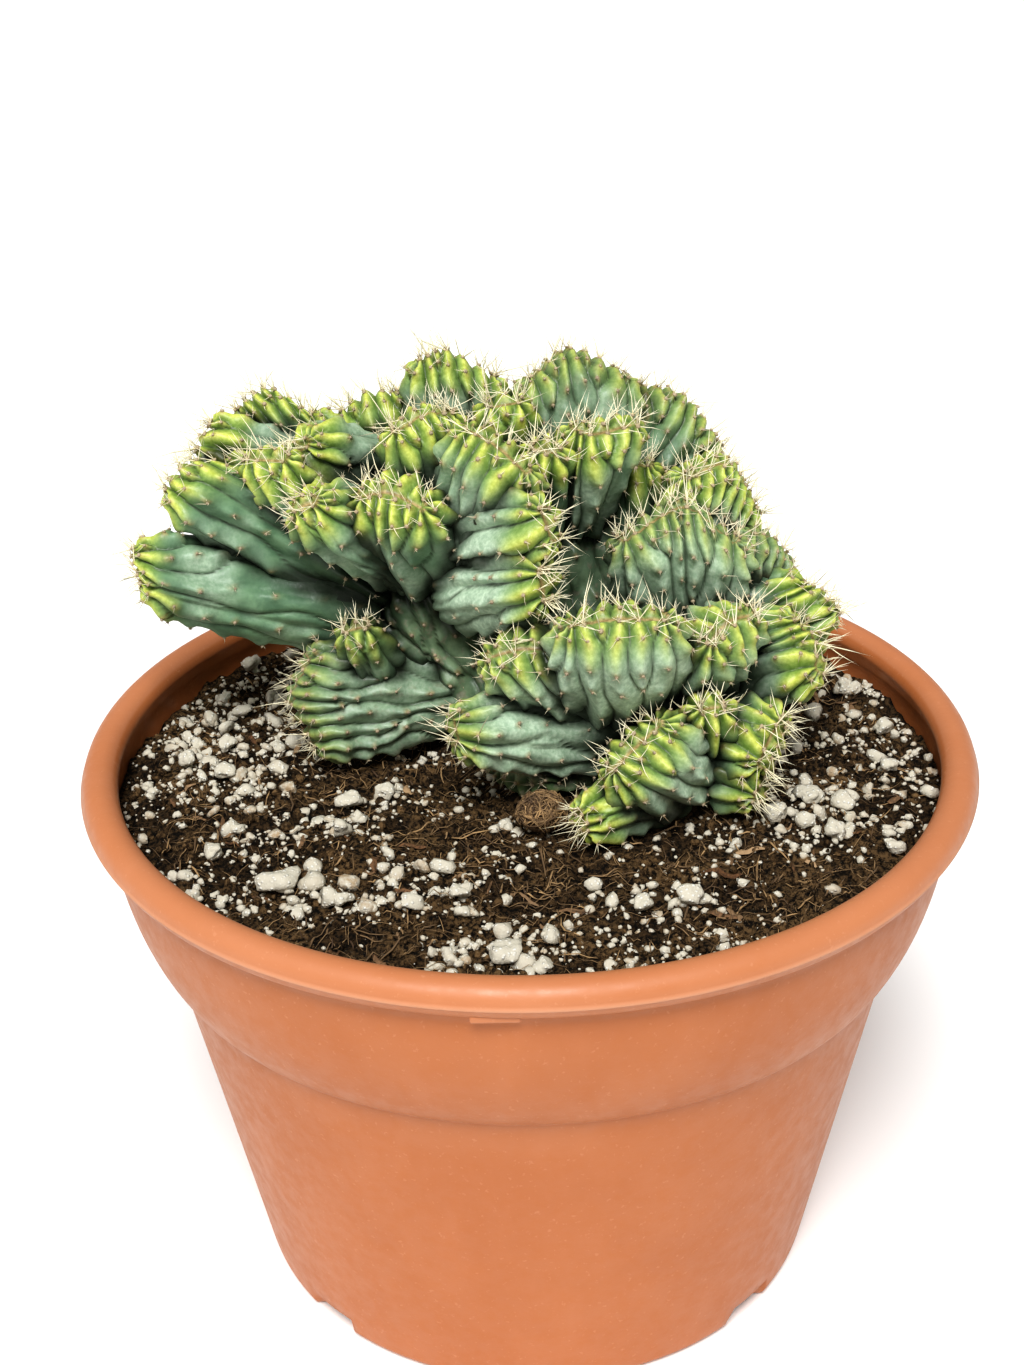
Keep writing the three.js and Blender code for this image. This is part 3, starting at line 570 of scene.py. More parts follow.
def make_pot():
    vertices, quads, triangles = turned_surface(pot_profile(), POT_SEGMENTS)
    x, y, z = vertices.T
    radius = np.hypot(x, y)
    angle = np.arctan2(y, x)
    outer = radius > BASE_RADIUS - 8
    # Drain slots: the corner between wall and floor is pressed in at four places.
    turn = 2 * math.pi / DRAIN_SLOTS
    from_slot = np.abs((angle % turn) - turn / 2) * BASE_RADIUS
    pressed = smooth(DRAIN_SLOT_WIDTH / 2 + 0.7, DRAIN_SLOT_WIDTH / 2 - 0.7, from_slot)
    pressed = pressed * smooth(DRAIN_SLOT_HEIGHT + 1.2, DRAIN_SLOT_HEIGHT - 0.6, z) * outer * (z < 12)
    shrink = 1 - pressed * 2.6 / np.maximum(radius, 1)
    # The thin wall is never quite round.
    wobble = 0.35 * np.sin(2 * angle + 0.8) * smooth(20, 160, z) + 0.18 * np.sin(5 * angle)
    shrink = shrink * (1 + wobble / np.maximum(radius, 60) * (radius > 60))
    vertices = np.stack([x * shrink, y * shrink, z + pressed * 2.0 * (z < 1)], -1)
    # Dust high on the pot, and a pale mould flash line.
    dust = 0.07 * smooth(0.35, 0.7, layered_noise(vertices, 26, 5) * 0.5 + 0.5) * (z > 100)
    flash = np.exp(-(((z - RIM_BEAD_Z + 0.45) / 0.5) ** 2)) * (radius > RIM_RADIUS)
    # Painted sheen: the rim top is paled all round.
    dust = np.clip(dust + 0.55 * flash + 0.22 * smooth(157, 163, z) * (radius > RIM_RADIUS - 9), 0, 1)
    pot = make_piece("pot_shell", vertices, [quads, triangles], terracotta_finish(),
                     replaced=["pot"], attributes={"dust": dust})
    tab_depth, tab_height = 3.4, 2.2
    y_front = -math.sqrt((RIM_RADIUS - 2.2) ** 2 - RIM_TAB_X**2)
    half = np.array([RIM_TAB_WIDTH / 2, tab_depth / 2, tab_height / 2])
    corners = np.array([[sx, sy, sz] for sx in (-1, 1) for sy in (-1, 1) for sz in (-1, 1)]) * half
    centre = np.array([RIM_TAB_X, y_front + tab_depth / 2, RIM_BEAD_Z - RIM_BEAD_RADIUS + 0.6])
    sides = np.array([[0, 1, 3, 2], [4, 6, 7, 5], [0, 4, 5, 1], [2, 3, 7, 6], [0, 2, 6, 4], [1, 5, 7, 3]])
    # The tab is paled evenly to about the rim top's painted sheen.
    tab = make_piece("pot_rim_tab", corners + centre, sides, pot.data.materials[0],
                     replaced=["pot"], attributes={"dust": np.full(8, 0.25)}, flat=True)
    bevel = tab.modifiers.new("edges", "BEVEL")
    bevel.width = 0.5 * MM
    bevel.segments = 2


# ---- Lobes ----

RIB_PITCH = 4.3
END_RIB_PITCH = 6.0
COLUMNS_PER_RIB = 7
CREST_END_TAPER = 0.25
DOME_ROWS = 16
AREOLE_STEPS = [2.2, 5.0, 7.0, 8.5, 10.0, 11.0, 12.0, 12.0, 12.0, 12.0]
MERGE_LEVELS = [9, 17, 28, 42, 60]


def crest_line(points, u):
    """Catmull-Rom curve through the points, and its slope."""
    p = np.asarray(points, float)
    count = len(p)
    p = np.vstack([2 * p[0] - p[1], p, 2 * p[-1] - p[-2]])
    t = np.clip(np.asarray(u, float) * (count - 1), 0, count - 1 - 1e-9)
    i = t.astype(int)
    f = (t - i)[:, None]
    a, b, c, d = p[i], p[i + 1], p[i + 2], p[i + 3]
    place = 0.5 * (2 * b + (c - a) * f + (2 * a - 5 * b + 4 * c - d) * f**2 + (3 * b - a - 3 * c + d) * f**3)
    slope = 0.5 * ((c - a) + 2 * (2 * a - 5 * b + 4 * c - d) * f + 3 * (3 * b - a - 3 * c + d) * f**2)
    return place, slope * (count - 1)


class Sheet:
    """The middle surface of a lobe: flow lines that run from the root up to the crest."""

    def __init__(self, lobe):
        ends = np.array([lobe.crest[0], lobe.crest[-1]], float)
        self.lobe = lobe
        self.root = np.array(lobe.root, float)
        middle = crest_line(lobe.crest, [0.5])[0][0]
        self.axis = unit(middle - self.root)
        chord = ends[1] - ends[0]
        self.side = unit(chord - self.axis * (chord @ self.axis))
        self.length = np.linalg.norm(middle - self.root)
        fine = crest_line(lobe.crest, np.linspace(0, 1, 60))[0]
        self.crest_length = np.linalg.norm(np.diff(fine, axis=0), axis=1).sum()

    def at(self, u, s):
        """Points, face normals, outward directions in the sheet and flow directions, rows by columns."""
        crest, slope = crest_line(self.lobe.crest, u)
        end = self.root + self.side * self.lobe.wide * (2 * u[:, None] - 1)
        control = (crest + end) / 2 + np.array(self.lobe.bow, float)
        s = s[:, None, None]
        points = (1 - s) ** 2 * crest + 2 * s * (1 - s) * control + s * s * end
        flow = unit(2 * (1 - s) * (crest - control) + 2 * s * (control - end))
        end_slope = 2 * self.lobe.wide * self.side
        across = (1 - s) ** 2 * slope + s * (1 - s) * (slope + end_slope) + s * s * end_slope
        across = unit(unit(across) + self.side)
        normal = unit(np.cross(across, flow))
        return points, normal, np.cross(flow, normal), flow

    def half(self, depth):
        """Half thickness at a depth below the crest."""
        along = np.clip((depth - self.lobe.head) / (self.length - self.lobe.head), 0, 1)
        return self.lobe.head + (self.lobe.neck - self.lobe.head) * smooth(0, 1, along)


Rows = namedtuple("Rows", "depth half tilt travel")


def lobe_rows(sheet):
    """Rings of a lobe: depth below the crest, half thickness, dome angle and distance run over the skin."""
    head = sheet.lobe.head
    angle = np.linspace(0, math.pi / 2, DOME_ROWS)
    body = []
    at = head
    while at < sheet.length - 0.8:
        at += 1.15 + 1.0 * at / sheet.length
        body.append(min(at, sheet.length))
    body = np.array(body)
    return Rows(
        np.concatenate([head * (1 - np.cos(angle)), body]),
        np.concatenate([head * np.sin(angle), sheet.half(body)]),
        np.concatenate([angle, np.full(len(body), math.pi / 2)]),
        np.concatenate([head * angle, body + head * (math.pi / 2 - 1)]),
    )


def merged_pairs(paths, groups, spacing, rng):
    """Picks neighbouring grooves to merge and eases the others apart; gives the pairs and new phases."""
    count = len(paths)
    now = np.array([paths[group[0], -1] for group in groups])
    target = now.copy()
    pairs = [i for i in range(rng.integers(0, spacing), len(groups) - 1, spacing) if rng.random() < 0.9]
    for i in pairs:
        target[i] = target[i + 1] = (now[i] + now[i + 1]) / 2
    before = np.concatenate([[target[-1] - count], target[:-1]])
    after = np.concatenate([target[1:], [target[0] + count]])
    relaxed = target + 0.35 * ((before + after) / 2 - target)
    for i in pairs:
        relaxed[i] = relaxed[i + 1] = (relaxed[i] + relaxed[i + 1]) / 2
    return pairs, relaxed


def groove_paths(count, travel, age, rng):
    """Where each groove runs, as a phase for each row, and how far down each rib ends."""
    paths = np.repeat(np.arange(count, dtype=float)[:, None], len(travel), 1)
    ends = np.full(count, np.inf)
    groups = [[k] for k in range(count)]
    for level in MERGE_LEVELS:
        if len(groups) <= 7:
            break
        pairs, relaxed = merged_pairs(paths, groups, 3, rng)
        meet = {}
        for i in pairs:
            meet[i] = meet[i + 1] = level * rng.uniform(0.8, 1.2)
            ends[groups[i][-1]] = min(ends[groups[i][-1]], meet[i])
        for i, group in enumerate(groups):
            run = 7.0
            move = np.clip((travel - meet.get(i, level) + run) / run, 0, 1) ** 1.8
            for k in group:
                paths[k] = paths[k] * (1 - move) + relaxed[i] * move
        groups = [g + groups[i + 1] if i in pairs else g for i,
                  g in enumerate(groups) if i - 1 not in pairs]
    for group in groups:
        meander = (1 + age) * np.sin(travel / 5.5 + rng.uniform(0, 2 * math.pi))
        paths[group] += meander * (0.15 * smooth(5, 12, travel) + 0.25 * smooth(18, 34, travel))
    return paths, ends


Ribs = namedtuple("Ribs", "place width number areoles")


def find_ribs(phase, travel, pitch, paths, ends, rng):
    """For rows by columns: the place across a rib (0 to 1), its width and number; and each rib's areoles."""
    count = len(paths)
    place = np.zeros((len(travel), len(phase)))
    width = np.zeros_like(place)
    number = np.zeros(place.shape, int)
    for row in range(len(travel)):
        edge = np.sort(paths[:, row])
        order = np.argsort(paths[:, row], kind="stable")
        position = (phase - edge[0]) % count + edge[0]
        found = np.searchsorted(edge, position, side="right") - 1
        left = edge[found]
        right = np.where(found + 1 < count, edge[(found + 1) % count], edge[0] + count)
        span = np.maximum(right - left, 1e-6)
        place[row] = (position - left) / span
        width[row] = span * pitch[row]
        number[row] = order[found]
    steps = np.array(AREOLE_STEPS)
    areoles = np.cumsum(steps * rng.uniform(0.8, 1.2, (count, len(steps))), 1)
    for k in np.flatnonzero(np.isfinite(ends)):
        past = areoles[k] > ends[k] - 6.0
        areoles[k, past] = 1e3
        areoles[k, past.argmax()] = ends[k] - 2.8
    return Ribs(place, width, number, areoles)


def lobe_relief(lobe, base, travel, ribs, seed):
    """How far the skin stands out from the smooth lobe, and the colour attributes that go with it."""
    t = travel[:, None]
    to_groove = np.minimum(ribs.place, 1 - ribs.place) * ribs.width
    to_keel = np.abs(ribs.place - 0.5) * ribs.width
    aged = smooth(10, 21, t)
    narrow = np.clip(ribs.width / 3.0, 0, 1)
    off_keel = np.abs(2 * ribs.place - 1)
    round_rib = 0.65 * (1 - off_keel**2.8) + 0.35 * (1 - off_keel)
    plateau = 1 - np.exp(-((to_groove / 1.3) ** 1.4))
    shape = round_rib * (1 - aged) + plateau * aged
    height = (2.3 - 1.35 * aged) * smooth(0.2, 3.0, t) * narrow
    height = height * (1 - 0.7 * lobe.age * smooth(-0.2, 0.5, layered_noise(base, 8, seed + 11, 2)))
    gap = t[..., None] - ribs.areoles[ribs.number]
    nearest = np.take_along_axis(gap, np.abs(gap).argmin(-1)[..., None], -1)[..., 0]
    reach = np.where(nearest > 0, 1.1, 3.0)
    bump = np.exp(-((nearest / reach) ** 2) - (to_keel / 1.6) ** 2)
    keel = np.exp(-((to_keel / np.maximum(ribs.width * 0.22, 0.5)) ** 2))
    lift = (0.85 + 0.6 * smooth(5, 16, t)) * bump * smooth(0.5, 2.0, t) + 0.5 * keel * smooth(10, 16, t)
    cut = 0.5 * np.exp(-((to_groove / 0.5) ** 2)) * smooth(3, 9, t) * np.clip(ribs.width / 1.5, 0, 1)
    puffy = 1.1 * layered_noise(base, 15, seed + 7, 2) * smooth(0, 6, t)
    knobs = 3.6 * lobe.age * layered_noise(base, 7.0, seed + 13, 2) * smooth(2, 8, t)
    wrinkle = (0.22 + 0.3 * lobe.age) * layered_noise(base, 4.5, seed + 9, 2) * smooth(3, 12, t)
    furrow = 1.0 * np.exp(-((t / 1.5) ** 2))
    move = height * (shape - 0.6) + lift - cut + puffy + knobs + wrinkle - furrow

    patchy = layered_noise(base, 9, seed + 3, 2)
    groove_shade_width = 0.42
    fresh = (1 - 0.8 * lobe.age) * (1 - 0.45 * max(lobe.wax, 0))
    waxy = smooth(8, 20, t + 8 * lobe.wax) * smooth(
        -0.6, 0.45, layered_noise(base, 14, seed + 5, 3) + lobe.wax
    )
    attributes = {
        "young": (1 - smooth(6, 18, t + 5 * patchy)) * fresh,
        # Young rib keels: yellower tissue with a painted highlight on top.
        "keel_yellow_and_highlight": (1 - smooth(6, 17, t + 4 * patchy)) * smooth(0.8, 2.5, t) * np.exp(-((off_keel / 0.42) ** 2))
        * narrow * fresh,
        # Painted shade, rising over the lowest part of each lobe towards its root.
        "painted_root_shade": smooth(0.7, 1.05, t / travel[-1] + 0.1 * patchy),
        # Painted shade along the bottom of each groove.
        "groove": np.exp(-((to_groove / groove_shade_width) ** 2))
        * smooth(0.5, 3, t)
        * np.clip(ribs.width / 1.2, 0.2, 1),
        "felt": np.clip(np.exp(-((t / 0.8) ** 2)) + np.exp(-((nearest / 0.7) ** 2) - (to_keel / 0.7) ** 2),
                        0, 1),
        "bloom": waxy * (1 - 0.7 * lobe.age),
        "old": np.full_like(base[..., 0], lobe.age),
    }
    return move, {key: np.broadcast_to(value, base.shape[:2]).ravel() for key, value in attributes.items()}


def lobe_faces(rows, columns, corners):
    """Triangles of a lobe. The first ring is a crest line, so its two sides share vertices."""
    index = np.arange(rows * columns).reshape(rows, columns)
    front, cap, back = (c * COLUMNS_PER_RIB for c in corners[1:4])
    crest = np.zeros(columns, int)
    crest[:front] = np.arange(front)
    crest[front:cap] = front
    crest[cap:back] = front - np.arange(back - cap)
    index[0] = crest
    following = np.roll(index, -1, 1)
    first = np.stack([index[:-1], index[1:], following[1:]], -1).reshape(-1, 3)
    second = np.stack([index[:-1], following[1:], following[:-1]], -1).reshape(-1, 3)
    foot = np.full(columns, rows * columns)
    closing = np.stack([index[-1], foot, following[-1]], -1)
    faces = np.vstack([first, second, closing])
    flat = (faces[:, 0] == faces[:, 1]) | (faces[:, 1] == faces[:, 2]) | (faces[:, 0] == faces[:, 2])
    return faces[~flat]


Areole = namedtuple("Areole", "point outward flow travel order age")


def lobe_areoles(lobe, rows, ribs, paths, skin, outward, flow):
    """The areoles of a lobe, on the keels of its ribs."""
    count = len(paths)
    found = []
    for k in range(count):
        for order, at in enumerate(ribs.areoles[k]):
            if at > rows.travel[-1] - 1:
                break
            row = int(np.abs(rows.travel - at).argmin())
            edges = np.sort(paths[:, row])
            after = edges[np.searchsorted(edges, paths[k, row], side="right") % count]
            after += count * (after <= paths[k, row])
            column = round((paths[k, row] + after) / 2 * COLUMNS_PER_RIB) % skin.shape[1]
            if ribs.width[row, column] > 1.0:
                found.append(
                    Areole(skin[row, column], outward[row, column], flow[row, column], at, order, lobe.age)
                )
    return found


Built = namedtuple("Built", "vertices faces attributes areoles sheet outward")


def build_lobe(lobe, seed):
    """One ribbed lobe. Its columns run along the front, round one end, along the back and round the other."""
    rng = np.random.default_rng(seed)
    sheet = Sheet(lobe)
    face_ribs = max(1, round(sheet.crest_length / RIB_PITCH))
    end_ribs = max(4, round(math.pi * lobe.head / END_RIB_PITCH))
    corners = np.cumsum([0, face_ribs, end_ribs, face_ribs, end_ribs])
    phase = np.arange(corners[-1] * COLUMNS_PER_RIB) / COLUMNS_PER_RIB
    u = np.interp(phase, corners, [0, 1, 1, 0, 0])
    turn = np.interp(phase, corners, [0, 0, math.pi, math.pi, 2 * math.pi])
    rows = lobe_rows(sheet)
    points, normal, out, flow = sheet.at(u, np.clip(rows.depth / sheet.length, 0, 1))
    around = np.cos(turn)[:, None] * normal + np.sin(turn)[:, None] * out
    taper = 1 - CREST_END_TAPER * np.abs(2 * u - 1) ** 3
    base = points + around * (rows.half[:, None] * taper)[..., None]
    tilt = rows.tilt[:, None, None]
    outward = unit(around * np.sin(tilt) + flow * np.cos(tilt))

    step = np.linalg.norm(np.roll(base, -1, 1) - base, axis=-1) * COLUMNS_PER_RIB
    pitch = sum(np.roll(step, k, 1) for k in range(-4, 5)) / 9
    paths, ends = groove_paths(corners[-1], rows.travel, lobe.age, rng)
    ribs = find_ribs(phase, rows.travel, pitch, paths, ends, rng)
    move, attributes = lobe_relief(lobe, base, rows.travel, ribs, seed)
    skin = base + outward * move[..., None]
    vertices = np.vstack([skin.reshape(-1, 3), skin[-1].mean(0)])
    attributes = {key: np.append(value, value[-1]) for key, value in attributes.items()}
    areoles = lobe_areoles(lobe, rows, ribs, paths, skin, outward, flow)
    return Built(vertices, lobe_faces(len(rows.depth), len(phase), corners), attributes, areoles, sheet,
                 outward)


def lobe_samples(sheets):
    """Balls that fill the lobes, for keeping small things out of them: centres, radii and lobe numbers."""
    centres, radii, owners = [], [], []
    for number, sheet in enumerate(sheets):
        u = np.linspace(0, 1, 5)
        depth = np.linspace(sheet.lobe.head * 0.8, sheet.length, 9)
        points = sheet.at(u, depth / sheet.length)[0]
        centres.append(points.reshape(-1, 3))
        radii.append(np.repeat(sheet.half(depth) * np.clip(depth / sheet.lobe.head, 0, 1), len(u)))
        owners.append(np.full(len(depth) * len(u), number))
    return np.concatenate(centres), np.concatenate(radii), np.concatenate(owners)


def depth_inside(points, samples, owner=None):
    """How far each point lies inside the lobes other than its own; negative outside."""
    centres, radii, owners = samples
    worst = np.full(len(points), -1e3)
    for chunk in range(0, len(points), 2000):
        part = slice(chunk, chunk + 2000)
        inside = radii - np.linalg.norm(points[part, None] - centres[None], axis=-1)
        if owner is not None:
            inside[owner[part, None] == owners[None]] = -1e3
        worst[part] = inside.max(1)
    return worst


def crowd_shade(built, number, samples):
    """How much the neighbouring lobes close in on each vertex of a lobe, from 0 to 1; the skin is darkened by
    it as painted shade.
    """
    rows, columns = built.outward.shape[:2]
    skin = built.vertices[:-1].reshape(rows, columns, 3)
    row_picks = np.arange(0, rows, 2)
    column_picks = np.arange(0, columns, 4)
    points = skin[row_picks][:, column_picks].reshape(-1, 3)
    facing = built.outward[row_picks][:, column_picks].reshape(-1, 3)
    centres, radii, owners = samples
    others = owners != number
    reach = centres[others][None] - points[:, None]
    distance = np.linalg.norm(reach, axis=-1)
    toward = np.clip(np.einsum("nsj,nj->ns", reach, facing) / distance, 0, 1)
    closeness = (toward * np.minimum((radii[others] / distance) ** 2, 1) ** 1.5).sum(1)
    touching = smooth(*TOUCH_SHADE_RANGE, (radii[others] - distance).max(1))
    coarse = np.maximum(smooth(*CROWD_SHADE_RANGE, closeness), touching)
    coarse = coarse.reshape(len(row_picks), len(column_picks))
    coarse = np.hstack([coarse, coarse[:, :1]])
    wide = np.array(
        [np.interp(np.arange(columns), np.append(column_picks, columns), line) for line in coarse]
    )
    fine = np.array([np.interp(np.arange(rows), row_picks, line) for line in wide.T]).T
    return np.append(fine.ravel(), fine[-1, 0])


# ---- Spines and areoles ----


def spine_mesh(base, direction, length, thickness, bend):
    """Thin bent three-sided spikes with one joint: their vertices, triangles and place along."""
    count = len(base)
    helper = np.where(np.abs(direction[:, 2:]) < 0.9, [[0, 0, 1.0]], [[1.0, 0, 0]])
    a = unit(np.cross(direction, helper))
    b = np.cross(direction, a)
    middle = base + direction * (length * 0.5)[:, None] + bend * (length * 0.03)[:, None]
    tip = base + direction * length[:, None] - bend * (length * 0.03)[:, None]
    rings = []
    for centre, scale in ((base, 1.0), (middle, 0.75)):
        for k in range(3):
            angle = 2 * math.pi * k / 3
            rings.append(centre + (a * math.cos(angle) + b * math.sin(angle)) * (thickness * scale)[:, None])
    vertices = np.stack([*rings, tip], 1)
    pattern = []
    for k in range(3):
        n = (k + 1) % 3
        pattern += [[k, n, 3 + n], [k, 3 + n, 3 + k], [3 + k, 3 + n, 6]]
    faces = np.array(pattern)[None] + (np.arange(count) * 7)[:, None, None]
    along = np.tile([0, 0, 0, 0.5, 0.5, 0.5, 1.0], count)
    return vertices.reshape(-1, 3), faces.reshape(-1, 3), along


# Spines by order down the rib: fewest, most, shortest, longest, scatter, lean towards the growing point.
SPINE_KINDS = [
    (4, 7, 3.5, 11.0, 0.6, 0.8),
    (2, 5, 1.6, 5.0, 0.6, 0.3),
    (2, 5, 0.9, 2.6, 0.8, 0.0),
]


def make_spines(areoles, rng):
    """Long straw-coloured spines along the crests, and short dark ones lower down."""
    base, direction, length, thickness, dark = [], [], [], [], []
    for areole in areoles:
        fewest, most, shortest, longest, scatter, lean = SPINE_KINDS[min(areole.order, 2)]
        number = rng.integers(fewest, most)
        heading = unit(areole.outward + areole.flow * lean)
        heading = unit(heading + rng.normal(size=(number, 3)) * scatter)
        heading = unit(heading + areole.outward * np.maximum(0, 0.25 - heading @ areole.outward)[:, None])
        size = rng.uniform(shortest, longest, number) * (1 - 0.6 * areole.age)
        size = np.where(rng.random(number) < 0.06, size * 1.7, size)
        base.append(areole.point - areole.outward * 0.2 + rng.normal(size=(number, 3)) * 0.18)
        direction.append(heading)
        length.append(size)
        thickness.append(0.07 + 0.010 * size + 0.02 * rng.random(number))
        middle_tone = -0.15 if areole.order == 0 else 0.2 + 0.25 * min(areole.order - 1, 1)
        dark.append(np.clip(rng.normal(middle_tone, 0.2, number) + 0.5 * areole.age, 0, 1))
    base, direction = np.concatenate(base), np.concatenate(direction)
    length, thickness, dark = np.concatenate(length), np.concatenate(thickness), np.concatenate(dark)
    vertices, faces, along = spine_mesh(base, direction, length, thickness,
                                        unit(rng.normal(size=base.shape)))
    make_piece("spines", vertices, faces, spine_finish(), replaced=["crested_stem"],
               attributes={"tip": along, "dark": np.repeat(dark, 7)})


def make_felt_pads(areoles, rng):
    template, faces = ball(1)
    count = len(areoles)
    centres = np.array([a.point for a in areoles])
    outward = np.array([a.outward for a in areoles])
    size = np.array([0.7 if a.order == 0 else 0.55 for a in areoles]) * rng.uniform(0.8, 1.25, count)
    across = unit(np.cross(outward, rng.normal(size=(count, 3))))
    along = np.cross(outward, across)
    axes = np.stack([across * size[:, None], along * size[:, None], outward * (size * 0.6)[:, None]], -1)
    vertices, all_faces = copies(template, faces, axes, centres)
    vertices = vertices + (
        0.12 * value_noise(vertices, 0.5, 3)[:, None] * np.repeat(outward, len(template), 0)
    )
    tone = np.array([0.1 if a.order < 2 else 0.35 for a in areoles]) + rng.uniform(0, 0.3, count)
    make_piece("areole_felt", vertices, all_faces, felt_finish(), replaced=["crested_stem"],
               attributes={"dark": np.repeat(tone, len(template))})


STEM_PIECES = 6
# Where the painted shade between lobes begins and is full, by closeness and by how far a neighbour reaches in
# (mm).
CROWD_SHADE_RANGE = (1.3, 9.0)
TOUCH_SHADE_RANGE = (-2.0, 0.8)


def make_cactus():
    skin = skin_finish()
    built = [build_lobe(lobe, SEED + number) for number, lobe in enumerate(LOBES)]
    samples = lobe_samples([b.sheet for b in built])
    for number, lobe in enumerate(built):
        # Painted shade from the neighbouring lobes.
        lobe.attributes["painted_crowd_shade"] = crowd_shade(lobe, number, samples)
    share = math.ceil(len(built) / STEM_PIECES)
    for number in range(STEM_PIECES):
        group = built[number * share:(number + 1) * share]
        vertices, faces = joined([(b.vertices, b.faces) for b in group])
        attributes = {key: np.concatenate([b.attributes[key] for b in group]) for key in group[0].attributes}
        make_piece(f"stem_lobes_{number + 1}", vertices, faces, skin,
                   replaced=["crested_stem"], attributes=attributes)
    areoles = [a for b in built for a in b.areoles]
    owner = np.concatenate([np.full(len(b.areoles), n) for n, b in enumerate(built)])
    points = np.array([a.point for a in areoles])
    hidden = (depth_inside(points, samples, owner) > -0.3) | (points[:, 2] < SOIL_Z + 1)
    shown = [a for a, h in zip(areoles, hidden) if not h]
    rng = np.random.default_rng(SEED + 500)
    make_spines(shown, rng)
    make_felt_pads(shown, rng)
    return samples


# ---- Potting mix and what lies on it ----


def soil_height(x, y):
    """Height of the mix, with crumbs and hollows."""
    points = np.stack([x, y, np.zeros_like(x)], -1)
    level = 1.1 * np.sin(x / 17 + 0.6) * np.cos(y / 21) + 0.8 * np.sin((x + 2 * y) / 26)
    lumps = (
        2.2 * layered_noise(points, 12, 21, 3)
        + 1.2 * value_noise(points, 3.2, 25)
        + 0.6 * value_noise(points, 1.5, 27)
    )
    edge = smooth(SOIL_RADIUS, SOIL_RADIUS - 12, np.hypot(x, y))
    return SOIL_Z + level + lumps - 1.0 * (1 - edge)


def make_soil():
    rings, segments = 112, 480
    radius = np.linspace(0, SOIL_RADIUS, rings + 1)[1:]
    angle = np.arange(segments) * 2 * math.pi / segments
    x = radius[:, None] * np.cos(angle)
    y = radius[:, None] * np.sin(angle)
    top = np.stack([x, y, soil_height(x, y)], -1).reshape(-1, 3)
    below = [(SOIL_RADIUS - 0.6, 147.0), (COLLAR_BOTTOM_RADIUS - POT_WALL - 1.0, COLLAR_BOTTOM_Z + 3),
             (COLLAR_BOTTOM_RADIUS - COLLAR_STEP - POT_WALL - 0.8, COLLAR_BOTTOM_Z - 2),
             (BASE_RADIUS - POT_WALL - 0.9, POT_FLOOR + 0.4)]
    rims = [np.stack([r * np.cos(angle), r * np.sin(angle), np.full(segments, z)], -1) for r, z in below]
    centre = [[0, 0, float(soil_height(np.zeros(1), np.zeros(1))[0])], [0, 0, POT_FLOOR + 0.4]]
    vertices = np.vstack([top, *rims, centre])
    rows = rings + len(rims)
    index = np.arange(rows * segments).reshape(rows, segments)
    following = np.roll(index, -1, 1)
    quads = np.stack([index[:-1], index[1:], following[1:], following[:-1]], -1).reshape(-1, 4)
    middle, bottom = rows * segments, rows * segments + 1
    cap = np.stack([np.full(segments, middle), index[0], following[0]], -1)
    base = np.stack([np.full(segments, bottom), following[-1], index[-1]], -1)
    make_piece("soil", vertices, [quads, np.vstack([cap, base])], peat_finish(),
               replaced=["potting_mix"])


def perlite_cover(x, y):
    """How thickly grains lie at a place, from 0 to 1."""
    points = np.stack([x, y, np.zeros_like(x)], -1)
    clumps = layered_noise(points, 17, 61, 3)
    cover = 0.36 + 0.75 * clumps
    for cx, cy, reach, gain in PERLITE_HOTSPOTS:
        cover = cover + gain * np.exp(-(((x - cx) ** 2 + (y - cy) ** 2) / reach**2))
    return np.clip(cover, 0.02, 1)


# Places where perlite lies thick (positive) or where bare peat shows (negative): x, y, reach, gain.
PERLITE_HOTSPOTS = [
    (-90, -5, 26, 0.55), (-70, -58, 22, 0.5), (-88, 50, 20, 0.5),
    (-28, -66, 16, 0.45), (38, -76, 22, 0.45), (80, -32, 20, 0.65),
    (104, 8, 16, 0.45), (-8, -96, 16, 0.45), (100, 50, 18, 0.45),
    (8, -58, 22, -0.5), (72, -70, 22, -0.55), (-20, -30, 16, -0.3),
    (98, -22, 12, -0.5), (-48, -36, 14, 0.2), (-55, 20, 12, -0.2),
]


def grain_shapes(rng, count, detail, sizes):
    """Broken, knobbly grains: balls cut by a few planes and pushed about by noise."""
    template, faces = ball(detail)
    cuts = unit(rng.normal(size=(count, 9, 3)))
    reach = rng.uniform(0.55, 1.0, (count, 9, 1))
    facing = np.einsum("ncj,vj->ncv", cuts, template)
    chipped = (reach / np.maximum(facing, 0.2)).min(1)[..., None]
    place = (template[None] + rng.uniform(-40, 40, (count, 1, 3))).reshape(-1, 3)
    lumps = 0.26 * value_noise(place, 0.75, 71) + 0.16 * value_noise(place, 0.36, 72)
    lumps = lumps.reshape(count, -1, 1)
    shaped = template[None] * (np.minimum(chipped, 1.15) + lumps) * rng.uniform(0.75, 1.15, (count, 1, 3))
    turned = np.einsum("nij,nvj->nvi", random_turns(rng, count), shaped)
    return turned * sizes[:, None, None] / 2, faces


def scatter_on_soil(rng, tries, samples, keep):
    """Random places on the mix, outside the stem, kept with the chance keep(x, y)."""
    radius = (SOIL_RADIUS - 1.5) * np.sqrt(rng.random(tries))
    angle = rng.uniform(0, 2 * math.pi, tries)
    x, y = radius * np.cos(angle), radius * np.sin(angle)
    chosen = rng.random(tries) < keep(x, y)
    x, y = x[chosen], y[chosen]
    points = np.stack([x, y, soil_height(x, y) + 1.0], -1)
    return points[depth_inside(points, samples) < -0.5]


# Loose grains by size: piece name, places tried, ball subdivisions, smallest and largest grain.
PERLITE_LAYERS = [
    ("perlite_coarse", 700, 2, (3.2, 6.6)),
    ("perlite_medium", 4300, 1, (1.6, 3.7)),
    ("perlite_fine", 7000, 1, (0.8, 1.7)),
]


